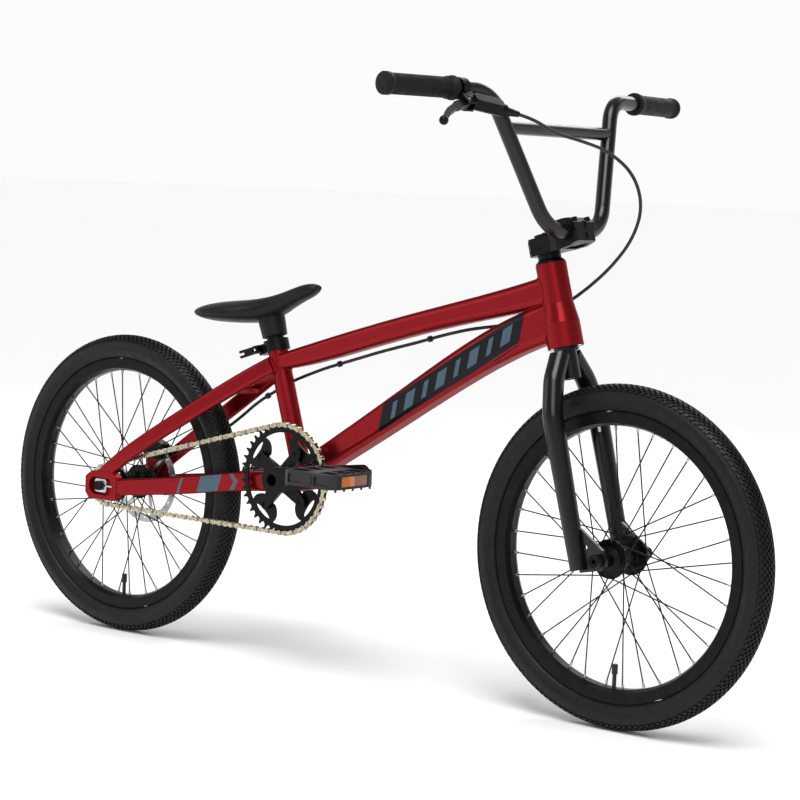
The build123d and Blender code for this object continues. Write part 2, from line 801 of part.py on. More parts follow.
# brake lever, drawn in a plane through the right grip, turned down and forward
lever_y = -212.0
lever_tilt = 57.0           # below straight ahead
lever_point = bar_point(lever_y)
lever_axis = (Vector(*bar_point(-300)) - Vector(*bar_point(-200))).normalized()
lever_out = Vector(math.cos(math.radians(lever_tilt)), 0, -math.sin(math.radians(lever_tilt)))
lever_place = Plane(
    origin=lever_point, x_dir=lever_axis, z_dir=(lever_axis.cross(lever_out)).normalized()
).location          # local X outward along the grip, Y away from the bar, Z across the blade

lever_pivot = (10.0, 31.0)
master_ends = ((8.0, 27.0), (-58.0, 42.0))
master_radius = 9.3
nose_end = (-82.0, 47.5)
socket_depth = 12.0


def lever_master():
    """Clamp ring, master cylinder and reservoir, with the pivot ears cut for the blade."""
    (near_x, near_d), (far_x, far_d) = master_ends
    lean = math.degrees(math.atan2(far_d - near_d, near_x - far_x))
    clamp = Rot(0, 90, 0) * (Cylinder(bar_radius + 4.5, 13))
    body = rod((near_x, near_d, 0), (far_x, far_d, 0), master_radius)
    neck = box_between((-7, 8, -8), (6, 26, 8))
    reservoir = Pos((near_x + far_x) / 2, (near_d + far_d) / 2, 7) * Rot(0, 0, -lean) * Box(50, 16, 11)
    reservoir = fillet(reservoir.edges().filter_by(Axis.Z), 6)
    ears = box_between((-4, 20, -8.5), (16, 38, 8.5))
    line = Vector(nose_end[0], nose_end[1], 0) - Vector(far_x, far_d, 0)
    nose_place = Plane(origin=(far_x, far_d, 0), z_dir=line).location
    nose = nose_place * (Pos(0, 0, line.length / 2 - 1) * Cone(7.2, 4.2, line.length + 2))
    whole = clamp + body + neck + reservoir + ears + nose
    whole -= Rot(0, 90, 0) * Cylinder(bar_radius + seat_gap, 40)
    whole -= box_between((-0.5, 18, -5.2), (34, 66, 5.2))
    whole -= Pos(lever_pivot[0], lever_pivot[1], 0) * Cylinder(2.0 + seat_gap, 40)
    bore = nose_place * (Pos(0, 0, line.length - socket_depth) * Cylinder(
        hose_radius + seat_gap, 40, align=(Align.CENTER, Align.CENTER, Align.MIN)))
    return whole - bore


def brake_lever_body():
    return steer * (lever_place * largest(lever_master()))


def lever_pivot_pin():
    pin = Pos(lever_pivot[0], lever_pivot[1], 0) * Cylinder(2.0, 18)
    return steer * (lever_place * pin)


def brake_lever_blade():
    """Short blade with a ball end, on the pivot pin."""
    route = [(lever_pivot[0], lever_pivot[1]), (36, 39), (60, 52), (82, 70)]
    blade = None
    widths = [6.0, 4.6, 4.0]
    for (start, end, half) in zip(route, route[1:], widths):
        line = Vector(*end) - Vector(*start)
        angle = math.degrees(math.atan2(line.Y, line.X))
        piece = Pos(start[0], start[1], 0) * Rot(0, 0, angle) * Pos(line.length / 2, 0, 0) * extrude(
            SlotCenterToCenter(line.length, 2 * half), 4.2, both=True)
        blade = piece if blade is None else blade + piece
    blade += Pos(route[-1][0], route[-1][1], 0) * Sphere(6.5)
    blade -= Pos(lever_pivot[0], lever_pivot[1], 0) * Cylinder(2.0 + running_gap, 40)
    return steer * (lever_place * largest(blade))


# ---- hose ---------------------------------------------------------------------------------------
def world(u, y, s):
    """Steering coordinates to bike coordinates."""
    return (head_low[0] + steer_s * u - steer_c * s, y, head_low[1] + steer_c * u + steer_s * s)


def hose_outlet():
    """The inner and outer end of the lever's hose socket, in bike coordinates."""
    line = (Vector(nose_end[0], nose_end[1], 0) - Vector(master_ends[1][0], master_ends[1][1], 0)).normalized()
    points = []
    for back in (socket_depth, 0.0):
        local = (steer * lever_place * Pos(nose_end[0] - line.X * back, nose_end[1] - line.Y * back, 0)).position
        points.append((local.X, local.Y, local.Z))
    return points


def front_hose_route():
    inner, mouth = hose_outlet()
    way = Vector(*mouth) - Vector(*inner)
    ahead = Vector(*mouth) + way.normalized() * 22
    return [
        inner, (ahead.X, ahead.Y, ahead.Z), (504, -72, 545), (514, -22, 537), (528, 30, 524),
        (545, 72, 493), (552, 88, 447), (542, 82, 400), (518, 64, 357), (486, 47, 322), (455, 37, 298),
        (428, 31.5, 284),
    ]


def rear_hose_route():
    return [
        (428, 31.5, 284), (396, 30, 272), (358, 18, 262.5), (312, 9.5, 255), (262, 8, 242.5), (208, 9, 226.5),
        (148, 7, 210), (88, 8, 191.5), (30, 10, 174), (-12, 18, 160), (-44, 24.5, 149), (-82, 26, 130),
        (-122, 25, 107), (-168, 33, 76), (-222, 42, 44), (-268, 48, 25), (-308, 49.5, 14), (-344.6, 49.5, 6.6),
    ]


clip_runs = (4, 7, 11)      # runs of the rear route that a clip holds at mid-length
clip_length = 5.0


def hose(route):
    radii = hose_radii(route)
    path = FilletPolyline(*route, radius=radii)
    tube = sweep(Plane(origin=path @ 0, z_dir=path % 0) * Circle(hose_radius), path=path)
    print("hose volume", round(tube.volume), "expected", round(math.pi * hose_radius ** 2 * path.length))
    return tube


def brake_hose_front():
    return hose(front_hose_route())


def brake_hose_rear():
    return hose(rear_hose_route())


def hose_clips():
    """Bands that hold the hose under the top tube and along the left stay."""
    pieces = []
    route = rear_hose_route()
    for run in clip_runs:
        start, end = Vector(*route[run]), Vector(*route[run + 1])
        way = (end - start).normalized()
        middle = (start + end) / 2
        low, high = middle - way * clip_length / 2, middle + way * clip_length / 2
        pieces.append(pipe(tuple(low), tuple(high), hose_radius + 2.2, hose_radius + seat_gap))
    return group(pieces)


# ---- brake --------------------------------------------------------------------------------------
caliper_x = rear_axle_x + 18.0
caliper_z = axle_z + 57.0
caliper_turn = math.degrees(math.atan2(caliper_z - axle_z, caliper_x - rear_axle_x))
caliper_place = Plane(
    origin=(caliper_x, rotor_plane, caliper_z),
    x_dir=(math.cos(math.radians(caliper_turn)), 0, math.sin(math.radians(caliper_turn))),
    z_dir=(0, 1, 0)).location      # local X away from the axle, Z to the left
pad_radius = 8.5
pad_thick = 3.0
caliper_bolts = (-24, 24)


def brake_caliper():
    """Two-piston body over the rotor's edge, with its mounting bolts."""
    body = Pos(2, 0, 0.5) * Box(30, 46, 19)
    body = fillet(body.edges().filter_by(Axis.Z), 6)
    body += Pos(2, 0, 9.5) * Box(22, 56, 3)
    slot_half = rotor_thick / 2 + 1.3
    body -= box_between((-20, -40, -slot_half), (12.5, 40, slot_half))
    for side in (-1, 1):
        body -= Pos(-3, 0, side * (slot_half + 2.2)) * Cylinder(pad_radius + running_gap, 4.8)
    bolt_room = [Pos(2, y, 4) * Cylinder(2.5 + seat_gap, 30) for y in caliper_bolts]
    for room in bolt_room:
        body -= room
    bolts = [Pos(2, y, 10.5) * Cylinder(2.5, 9) for y in caliper_bolts]
    solids = [caliper_place * largest(body)]
    solids += [caliper_place * bolt for bolt in bolts]
    return group(solids)


def brake_pad(side):
    centre = side * (rotor_thick / 2 + pad_gap + pad_thick / 2)
    return caliper_place * (Pos(-3, 0, centre) * Cylinder(pad_radius, pad_thick))


def brake_rotor():
    """Drilled disc: friction ring, six curved-looking arms and the mounting centre."""
    ring = Circle(rotor_radius) - Circle(rotor_radius - 12)
    hub = Circle(24) - Circle(hub_body_radius + 2)
    arms = Sketch()
    for i in range(6):
        arms += Rot(0, 0, 60 * i) * Pos(40, 8) * Rot(0, 0, 18) * Rectangle(44, 5.5)
    disc = ring + hub + (arms & (Circle(rotor_radius - 6) - Circle(20)))
    for i in range(24):
        disc -= Rot(0, 0, 15 * i) * Pos(rotor_radius - (4 if i % 2 else 8), 0) * Circle(1.8)
    body = extrude(disc, rotor_thick / 2, both=True)
    return wheel_place(rear_axle_x) * (Pos(0, 0, rotor_plane) * body)


# ---- wheels -------------------------------------------------------------------------------------
def tyre(x):
    """Hollow casing whose beads sit between the rim's flanges."""
    centre = tyre_radius - tyre_half_width
    inside = tyre_half_width - tyre_wall
    bead_y = rim_half_width - rim_wall - 0.3
    bead_in_y = bead_y - tyre_wall
    bead_r = rim_radius - 8
    ledge_r = rim_radius + 0.3
    ledge_y = math.sqrt(tyre_half_width ** 2 - (centre - ledge_r) ** 2)
    inner_r = centre - math.sqrt(inside ** 2 - bead_in_y ** 2)
    outer = ThreePointArc((ledge_r, 0, ledge_y), (tyre_radius, 0, 0), (ledge_r, 0, -ledge_y))
    inner = ThreePointArc((inner_r, 0, -bead_in_y), (centre + inside, 0, 0), (inner_r, 0, bead_in_y))
    low_side = Polyline((ledge_r, 0, -ledge_y), (ledge_r, 0, -bead_y), (bead_r, 0, -bead_y),
                        (bead_r, 0, -bead_in_y), (inner_r, 0, -bead_in_y))
    high_side = Polyline((inner_r, 0, bead_in_y), (bead_r, 0, bead_in_y), (bead_r, 0, bead_y),
                         (ledge_r, 0, bead_y), (ledge_r, 0, ledge_y))
    section = make_face(Wire([*outer.edges(), *low_side.edges(), *inner.edges(), *high_side.edges()]))
    return wheel_place(x) * revolve(section, Axis.Z)


def spoke_ends(i):
    """Hub and rim ends of one spoke in wheel coordinates."""
    side = 1 if i % 2 else -1
    turn = 360 / spoke_count
    lead = 1 if (i // 2) % 2 else -1
    rim_angle = turn * (i + 0.5)
    pair = 720 / spoke_count
    hub_angle = rim_angle + lead * spoke_cross * pair * 0.98
    clear = outer_spoke_clear if lead > 0 else inner_spoke_clear
    face = side * (flange_half_gap + lead * (flange_thick / 2 + spoke_radius + clear))
    hub_c, hub_s = unit_angle(hub_angle)
    rim_c, rim_s = unit_angle(rim_angle)
    rim_in = rim_radius - rim_depth
    start = (flange_hole_radius * hub_c, flange_hole_radius * hub_s, face)
    end = (rim_in * rim_c, rim_in * rim_s, side * 3.0)
    return start, end


def rim(x):
    inner = rim_radius - rim_depth
    half = rim_half_width
    wall = rim_wall
    well = rim_radius - 9
    outline = [
        (inner, -7), (inner + 4, -half), (rim_radius, -half), (rim_radius, -half + wall),
        (well, -half + wall), (well - 2, -6), (well - 2, 6), (well, half - wall), (rim_radius, half - wall),
        (rim_radius, half), (inner + 4, half), (inner, 7),
    ]
    hollow = [
        (inner + 2.2, -6), (inner + 5, -half + wall), (well - 2.4, -half + wall), (well - 4.4, -6),
        (well - 4.4, 6), (well - 2.4, half - wall), (inner + 5, half - wall), (inner + 2.2, 6),
    ]
    ring = spun(outline, Location()) - spun(hollow, Location())
    for i in range(spoke_count):
        start, end = spoke_ends(i)
        way = (Vector(*end) - Vector(*start)).normalized()
        base = Vector(*end) - way * 3
        ring -= rod(tuple(base), tuple(Vector(*end) + way * 7), nipple_radius + 0.1)
    ring -= rod((0, 0, 0), (0, rim_radius, 0), 3.2)
    return wheel_place(x) * largest(ring)


def spokes(x):
    solids = []
    for i in range(spoke_count):
        start, end = spoke_ends(i)
        way = (Vector(*end) - Vector(*start)).normalized()
        stop = Vector(*end) - way * (nipple_length - 4)
        solids.append(wheel_place(x) * rod(start, tuple(stop), spoke_radius))
    return group(solids)


def nipples(x):
    solids = []
    for i in range(spoke_count):
        start, end = spoke_ends(i)
        way = (Vector(*end) - Vector(*start)).normalized()
        low = Vector(*end) - way * (nipple_length - 4)
        solids.append(wheel_place(x) * rod(tuple(low), tuple(low + way * nipple_length), nipple_radius))
    return group(solids)


def valve(x):
    """Valve stem through the rim, with its cap."""
    stem = rod((0, rim_radius - 40, 0), (0, rim_radius - 11.4, 0), 3.0)
    cap = rod((0, rim_radius - 54, 0), (0, rim_radius - 40, 0), 4.4)
    return wheel_place(x) * (stem + cap)


def hub_shell(half_width, left_extra):
    flange_out = flange_half_gap + flange_thick / 2
    flange_in = flange_half_gap - flange_thick / 2
    outline = [
        (0, -half_width), (11, -half_width), (11, -flange_out - 4), (18, -flange_out), (flange_radius, -flange_out),
        (flange_radius, -flange_in), (18, -flange_in), (hub_body_radius, -flange_in + 7),
        (hub_body_radius, flange_in - 7), (18, flange_in), (flange_radius, flange_in),
        (flange_radius, flange_out), (18, flange_out), (left_extra, flange_out + 4), (left_extra, half_width),
        (0, half_width),
    ]
    return spun(outline, Location())


def front_hub():
    shell = hub_shell(front_hub_half - body_gap, 11)
    shell -= Cylinder(axle_radius + running_gap, 200)
    return wheel_place(front_axle_x) * shell


cog_body_in = 38.0


def rear_hub():
    shell = hub_shell(dropout_inner - body_gap, hub_body_radius + 1.6)
    shell -= Cylinder(axle_radius + running_gap, 200)
    shell -= Pos(0, 0, -(cog_body_in - body_gap + 50)) * Cylinder(30, 100)
    return wheel_place(rear_axle_x) * largest(shell)


# ---- drive --------------------------------------------------------------------------------------
def sprocket(teeth, pitch_radius, phase):
    """Toothed disc outline; each gap seats a roller."""
    tip = pitch_radius + 3.2
    outline = Circle(tip)
    for i in range(teeth):
        turned = Rot(0, 0, phase + 360 * i / teeth)
        for rise, radius in tooth_gap:
            outline -= turned * Pos(pitch_radius + rise, 0) * Circle(radius)
    return outline


def ring_phase():
    """Angle of a roller seated on the ring."""
    x, z = chain_point(chain_links - 4)
    return math.degrees(math.atan2(z, x))


def cog_phase():
    """Angle of a roller seated on the cog."""
    x, z = chain_point(math.ceil(straight) + 2)
    return math.degrees(math.atan2(z - axle_z, x - rear_axle_x))


def chainring():
    """Race chainring: toothed rim with four webs that take the bolts."""
    rim_in = ring_pitch_radius - 12
    disc = sprocket(ring_teeth, ring_pitch_radius, ring_phase()) - Circle(rim_in)
    for i in range(4):
        turn = Rot(0, 0, crank_angle + 45 + 90 * i)
        web = Pos(62, 0) * Ellipse(21, 27) & (Circle(rim_in + 3) - Circle(bolt_circle_radius - 7))
        web -= Pos(68, 0) * Ellipse(4.0, 17)
        disc += turn * web
        disc -= turn * Pos(bolt_circle_radius, 0) * Circle(5.0)
    return along_y(disc, -chain_line - tooth_thick / 2, -chain_line + tooth_thick / 2)


def chainring_bolts():
    pieces = []
    for i in range(4):
        c, s = unit_angle(crank_angle + 45 + 90 * i)
        x, z = bolt_circle_radius * c, bolt_circle_radius * s
        head = disc_y(x, z, 6.6, -chain_line + tooth_thick / 2, -chain_line + tooth_thick / 2 + 2)
        shank = disc_y(x, z, 4.9, -chain_line - 6.6, -chain_line + tooth_thick / 2)
        pieces.append(head + shank)
    return group(pieces)


def crank_arm_outline(angle):
    c, s = unit_angle(angle)
    end = (crank_length * c, crank_length * s)
    across = (-s, c)
    points = [
        (across[0] * 20, across[1] * 20), (end[0] + across[0] * 14.5, end[1] + across[1] * 14.5),
        (end[0] - across[0] * 14.5, end[1] - across[1] * 14.5), (-across[0] * 20, -across[1] * 20),
    ]
    web = make_face(Polyline(*[(a, b, 0) for a, b in points], close=True))
    return web + Circle(20) + Pos(*end) * Circle(14.5)


def crank_spindle():
    """Hollow spindle through both arms and the two bearings."""
    return disc_y(0, 0, spindle_radius, -crank_face, crank_face) - disc_y(0, 0, spindle_bore_radius, -90, 90)


def crank_arm_right():
    """Right arm forged with its four-arm spider."""
    arm = along_y(crank_arm_outline(crank_angle), -crank_face, -crank_face + crank_thick)
    spider_in = -chain_line - tooth_thick / 2
    boss = disc_y(0, 0, 20, -crank_face + crank_thick, spider_in - 1)
    spider = Sketch()
    for i in range(4):
        turn = Rot(0, 0, crank_angle + 45 + 90 * i)
        tapered = make_face(Polyline((0, 15, 0), (bolt_circle_radius, 8, 0), (bolt_circle_radius, -8, 0),
                                     (0, -15, 0), close=True))
        spider += turn * (tapered + Pos(bolt_circle_radius, 0) * Circle(8.5))
    plate = along_y(spider, spider_in - 6.5, spider_in)
    body = arm + boss + plate
    for i in range(4):
        c, s = unit_angle(crank_angle + 45 + 90 * i)
        body -= disc_y(bolt_circle_radius * c, bolt_circle_radius * s, 4.95, -60, -40)
    body -= disc_y(0, 0, spindle_radius, -90, 90)
    c, s = unit_angle(crank_angle)
    body -= disc_y(crank_length * c, crank_length * s, pedal_thread_radius + seat_gap, -90, -55)
    pocket = Pos(0.52 * crank_length * c, 0.52 * crank_length * s) * Rot(0, 0, crank_angle)
    body -= along_y(pocket * SlotCenterToCenter(64, 12), -crank_face - 1, -crank_face + 2.2)
    return body


pedal_thread_radius = 7.1
pedal_axle_radius = 5.0
pedal_in = crank_face + 19.0
pedal_out = 192.0
pedal_half_x = 51.0
reflector_half = 30.0
pedal_half_z = 14.5


def crank_arm_left():
    arm = along_y(crank_arm_outline(crank_angle + 180), crank_face - crank_thick, crank_face)
    arm += disc_y(0, 0, 18.5, crank_face - crank_thick - 12, crank_face - crank_thick)
    arm -= disc_y(0, 0, spindle_radius, -90, 90)
    c, s = unit_angle(crank_angle + 180)
    arm -= disc_y(crank_length * c, crank_length * s, pedal_thread_radius + seat_gap, 55, 90)
    return arm


def pedal_centre(side):
    c, s = unit_angle(crank_angle if side < 0 else crank_angle + 180)
    return crank_length * c, crank_length * s


def pedal_axles():
    pieces = []
    for side in (-1, 1):
        x, z = pedal_centre(side)
        thread = disc_y(x, z, pedal_thread_radius, side * (crank_face - crank_thick + 1), side * crank_face)
        wrench = along_y(RegularPolygon(8.2, 6), side * crank_face, side * (crank_face + 8), x, z)
        shaft = disc_y(x, z, pedal_axle_radius, side * crank_face, side * (pedal_out - 8))
        pieces.append(thread + wrench + shaft)
    return group(pieces)


def pedal(side):
    """Platform body: centre barrel, ladder of cross bars, end plates with reflector slots."""
    x, z = pedal_centre(side)
    y_in, y_out = side * pedal_in, side * pedal_out
    length = pedal_out - pedal_in
    frame_plan = RectangleRounded(2 * pedal_half_x, length, 15)
    for row in (-1, 1):
        for column in (-1, 0, 1):
            cut = RectangleRounded(pedal_half_x - 20, length / 3 - 9, 3)
            frame_plan -= Pos(row * (pedal_half_x + 4) / 2, column * (length / 3 - 3.5)) * cut
    mid_y = side * (pedal_in + pedal_out) / 2
    body = Pos(x, mid_y, z) * extrude(frame_plan, pedal_half_z - 3.5, both=True)
    barrel = disc_y(x, z, 9.5, y_in, y_out)
    body += barrel
    for row in (-1, 1):
        for column in range(5):
            y_pin = side * (pedal_in + 9 + column * (length - 18) / 4)
            body += Pos(x + row * (pedal_half_x - 4), y_pin, z) * Cylinder(1.8, 2 * pedal_half_z)
        body -= reflector_room(side, row)
        pocket_x = x + row * 25
        body -= box_between((pocket_x - 13, min(y_out, y_out - side * 2.5), z - 6.5),
                            (pocket_x + 13, max(y_out, y_out - side * 2.5), z + 6.5))
    body += disc_y(x, z, 8.0, y_out - side * 2, y_out + side * 1.2)
    body -= disc_y(x, z, pedal_axle_radius + running_gap, y_in - 1 if side > 0 else y_in + 1, side * (pedal_out - 6))
    return largest(body)


def reflector_room(side, row):
    x, z = pedal_centre(side)
    mid_y = side * (pedal_in + pedal_out) / 2
    face = x + row * pedal_half_x
    low = (min(face, face - row * 5), mid_y - reflector_half, z - 8)
    high = (max(face, face - row * 5), mid_y + reflector_half, z + 8)
    return box_between(low, high)


def pedal_reflectors(side):
    pieces = []
    x, z = pedal_centre(side)
    mid_y = side * (pedal_in + pedal_out) / 2
    for row in (-1, 1):
        face = x + row * pedal_half_x
        low = (min(face - row * 1, face - row * 5), mid_y - reflector_half + 0.5, z - 7.5)
        high = (max(face - row * 1, face - row * 5), mid_y + reflector_half - 0.5, z + 7.5)
        pieces.append(box_between(low, high))
    return group(pieces)


def rear_cog():
    """Driven cog with the driver body it is part of."""
    outline = sprocket(cog_teeth, cog_pitch_radius, cog_phase())
    cog = along_y(outline, -chain_line - tooth_thick / 2, -chain_line + tooth_thick / 2, 0, 0)
    cog += disc_y(0, 0, 21, -dropout_inner + 3, -cog_body_in)
    cog -= disc_y(0, 0, axle_radius + running_gap, -90, 90)
    cog -= disc_y(0, 0, 40, -dropout_inner - 2, -dropout_inner + body_gap)
    collar = disc_y(0, 0, 11, -dropout_inner + body_gap, -dropout_inner + 3)
    collar -= disc_y(0, 0, axle_radius + running_gap, -90, 90)
    return Pos(rear_axle_x, 0, axle_z) * (cog + collar)


def link_frame(i):
    """Location of a link: local X from its rear roller to its front one, local Z along Y."""
    x0, z0 = chain_point(i)
    x1, z1 = chain_point(i + 1)
    span = math.hypot(x1 - x0, z1 - z0)
    plane = Plane(origin=(x0, -chain_line, z0), x_dir=((x1 - x0) / span, 0, (z1 - z0) / span), z_dir=(0, 1, 0))
    return plane.location, span


def plate_outline(span):
    waist = Rectangle(span, 5.4, align=(Align.MIN, Align.CENTER))
    return waist + Circle(4.1) + Pos(span, 0) * Circle(4.1)


def inner_link(span):
    low = inner_plate_gap / 2
    plates = Pos(0, 0, low) * extrude(plate_outline(span), plate_thick)
    plates += Pos(0, 0, -low - plate_thick) * extrude(plate_outline(span), plate_thick)
    for x in (0, span):
        plates += Pos(x, 0, 0) * Cylinder(roller_radius, inner_plate_gap)
        plates -= Pos(x, 0, 0) * Cylinder(pin_radius + 0.1, 12)
    return plates


def outer_link(span):
    low = inner_plate_gap / 2 + plate_thick + 0.1
    plates = Pos(0, 0, low) * extrude(plate_outline(span), plate_thick)
    plates += Pos(0, 0, -low - plate_thick) * extrude(plate_outline(span), plate_thick)
    for x in (0, span):
        plates += Pos(x, 0, 0) * Cylinder(pin_radius, 2 * (low + plate_thick) + 0.8)
    return plates


def half_link(span):
    """Cranked link that closes an odd count: narrow at one end, wide at the other."""
    half = span / 2
    narrow = inner_link(span) & box_between((-10, -10, -10), (half, 10, 10))
    wide = outer_link(span) & box_between((half, -10, -10), (span + 10, 10, 10))
    low = inner_plate_gap / 2
    step_high = 2 * plate_thick + 0.1
    bridge = Pos(half, 0, low + step_high / 2) * Box(2.4, 5.4, step_high)
    bridge += Pos(half, 0, -low - step_high / 2) * Box(2.4, 5.4, step_high)
    return narrow + wide + bridge


def chain():
    """Closed roller chain, one solid per link."""
    solids = []
    for i in range(chain_links):
        where, span = link_frame(i)
        if i == chain_links - 1:
            link = half_link(span)
        elif i % 2 == 0:
            link = inner_link(span)
        else:
            link = outer_link(span)
        solids.append(where * link)
    return group(solids)


# ---- output -------------------------------------------------------------------------------------
nodes = {
    "head_tube": head_tube,
    "top_tube": top_tube,
    "down_tube": down_tube,
    "seat_tube": seat_tube,
    "bb_shell": bb_shell,
    "chainstays": chainstays,
    "seatstays": seatstays,
    "dropouts": dropouts,
    "chain_tensioners": chain_tensioners,
    "rear_axle": rear_axle,
    "headset_bearings": headset_bearings,
    "bb_bearings": bb_bearings,
    "seat_clamp": seat_clamp,
    "seat_quick_release": seat_quick_release,
    "seat_post": seat_post,
    "saddle": saddle,
    "fork_steerer": fork_steerer,
    "fork_legs": fork_legs,
    "fork_dropouts": fork_dropouts,
    "front_axle": front_axle,
    "headset_cover": headset_cover,
    "stem_body": stem_body,
    "stem_cap": stem_cap,
    "stem_bolts": stem_bolts,
    "handlebar": handlebar,
    "grips": grips,
    "brake_lever_body": brake_lever_body,
    "lever_pivot_pin": lever_pivot_pin,
    "brake_lever_blade": brake_lever_blade,
    "brake_hose_front": brake_hose_front,
    "brake_hose_rear": brake_hose_rear,
    "hose_clips": hose_clips,
    "brake_caliper": brake_caliper,
    "brake_pad_left": lambda: brake_pad(1),
    "brake_pad_right": lambda: brake_pad(-1),
    "brake_rotor": brake_rotor,
    "front_tyre": lambda: tyre(front_axle_x),
    "front_rim": lambda: rim(front_axle_x),
    "front_spokes": lambda: spokes(front_axle_x),
    "front_nipples": lambda: nipples(front_axle_x),
    "front_valve": lambda: valve(front_axle_x),
    "front_hub": front_hub,
    "rear_tyre": lambda: tyre(rear_axle_x),
    "rear_rim": lambda: rim(rear_axle_x),
    "rear_spokes": lambda: spokes(rear_axle_x),
    "rear_nipples": lambda: nipples(rear_axle_x),
    "rear_valve": lambda: valve(rear_axle_x),
    "rear_hub": rear_hub,
    "rear_cog": rear_cog,
    "crank_spindle": crank_spindle,
    "crank_arm_right": crank_arm_right,
    "crank_arm_left": crank_arm_left,
    "chainring": chainring,
    "chainring_bolts": chainring_bolts,
    "pedal_axles": pedal_axles,
    "right_pedal": lambda: pedal(-1),
    "left_pedal": lambda: pedal(1),
    "right_pedal_reflectors": lambda: pedal_reflectors(-1),
    "left_pedal_reflectors": lambda: pedal_reflectors(1),
    "chain": chain,
}

os.makedirs("parts", exist_ok=True)
for name, make in nodes.items():
    export_step(make(), f"parts/{name}.step")
    print(name)
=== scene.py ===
import bmesh
import bpy
import itertools
import json
import math
import random
from mathutils import Matrix, Vector
from mathutils.bvhtree import BVHTree


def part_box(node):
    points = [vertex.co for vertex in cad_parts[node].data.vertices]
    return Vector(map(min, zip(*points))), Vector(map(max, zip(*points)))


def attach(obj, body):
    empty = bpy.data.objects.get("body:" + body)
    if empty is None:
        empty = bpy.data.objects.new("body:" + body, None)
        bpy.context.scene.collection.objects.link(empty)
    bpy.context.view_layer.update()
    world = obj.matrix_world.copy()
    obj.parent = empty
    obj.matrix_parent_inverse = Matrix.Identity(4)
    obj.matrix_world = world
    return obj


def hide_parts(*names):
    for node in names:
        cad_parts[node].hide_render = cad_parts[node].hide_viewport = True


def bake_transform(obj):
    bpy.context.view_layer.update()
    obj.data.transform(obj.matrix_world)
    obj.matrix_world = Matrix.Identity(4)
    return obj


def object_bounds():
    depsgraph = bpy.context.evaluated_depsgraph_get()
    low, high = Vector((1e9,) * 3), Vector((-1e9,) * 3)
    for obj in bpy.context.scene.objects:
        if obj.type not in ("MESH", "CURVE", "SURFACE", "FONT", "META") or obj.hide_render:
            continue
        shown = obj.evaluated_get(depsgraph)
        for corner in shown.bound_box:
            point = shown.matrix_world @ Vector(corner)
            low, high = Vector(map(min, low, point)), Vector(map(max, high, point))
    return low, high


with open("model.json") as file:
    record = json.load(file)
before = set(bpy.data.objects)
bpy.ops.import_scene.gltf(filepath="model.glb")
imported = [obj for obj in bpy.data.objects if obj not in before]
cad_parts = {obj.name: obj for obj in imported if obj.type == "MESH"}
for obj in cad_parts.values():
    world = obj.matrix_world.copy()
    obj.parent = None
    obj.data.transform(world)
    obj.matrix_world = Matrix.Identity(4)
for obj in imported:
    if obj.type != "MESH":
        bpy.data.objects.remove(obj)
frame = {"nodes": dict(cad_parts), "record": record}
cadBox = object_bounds()
nodes = frame["nodes"]
print("frame loaded:", len(nodes), "nodes")
random.seed(7)


def linear(hexColour):
    # sRGB hex to the linear colour that the shaders take
    parts = [int(hexColour[i:i + 2], 16) / 255 for i in (1, 3, 5)]
    return [c / 12.92 if c <= 0.04045 else ((c + 0.055) / 1.055) ** 2.4 for c in parts] + [1.0]


def addNode(tree, kind, settings=None, links=None):
    node = tree.nodes.new(kind)
    for key, value in (settings or {}).items():
        if isinstance(key, int) or key in node.inputs:
            node.inputs[key].default_value = value
        else:
            setattr(node, key, value)
    for key, socket in (links or {}).items():
        tree.links.new(socket, node.inputs[key])
    return node


def startMaterial(name, finish):
    # a Principled surface with its constants set on its own sockets
    material = bpy.data.materials.new(name)
    material.use_nodes = True
    tree = material.node_tree
    tree.nodes.clear()
    surface = addNode(tree, "ShaderNodeBsdfPrincipled", finish)
    addNode(tree, "ShaderNodeOutputMaterial", {}, {"Surface": surface.outputs[0]})
    place = addNode(tree, "ShaderNodeTexCoord").outputs["Object"]
    return material, tree, surface, place


def grainBump(tree, surface, place, size, depth, strength=1.0, detail=2.0, edge=0.0):
    # fine relief: size and depth in metres; edge rounds the corners that light catches
    grain = addNode(tree, "ShaderNodeTexNoise", {"Scale": 1 / size, "Detail": detail}, {"Vector": place})
    links = {"Height": grain.outputs["Fac"]}
    if edge:
        rounded = addNode(tree, "ShaderNodeBevel", {"Radius": edge, "samples": 4})
        links["Normal"] = rounded.outputs["Normal"]
    bump = addNode(tree, "ShaderNodeBump", {"Strength": strength, "Distance": depth}, links)
    tree.links.new(bump.outputs["Normal"], surface.inputs["Normal"])
    return grain


def mottle(tree, surface, place, size, low, high, socket="Base Color", detail=3.0):
    # slow variation of colour or roughness between two values
    cloud = addNode(tree, "ShaderNodeTexNoise", {"Scale": 1 / size, "Detail": detail}, {"Vector": place})
    ramp = addNode(tree, "ShaderNodeValToRGB", {}, {"Fac": cloud.outputs["Fac"]})
    ramp.color_ramp.elements[0].position, ramp.color_ramp.elements[1].position = 0.35, 0.65
    if isinstance(low, str):
        low, high = linear(low), linear(high)
    else:
        low, high = [low] * 3 + [1], [high] * 3 + [1]
    ramp.color_ramp.elements[0].color, ramp.color_ramp.elements[1].color = low, high
    tree.links.new(ramp.outputs["Color"], surface.inputs[socket])
    return ramp


def blackGlossPaint():
    # stoved enamel on steel: long soft reflections, no grain
    material, tree, surface, place = startMaterial("glossBlackEnamel", {
        "Roughness": 0.28, "Specular IOR Level": 0.3, "Coat Weight": 0.22, "Coat Roughness": 0.08})
    mottle(tree, surface, place, 0.03, "#08080a", "#0d0d0f")
    grainBump(tree, surface, place, 0.006, 0.00003, 0.3, edge=0.0008)
    return material


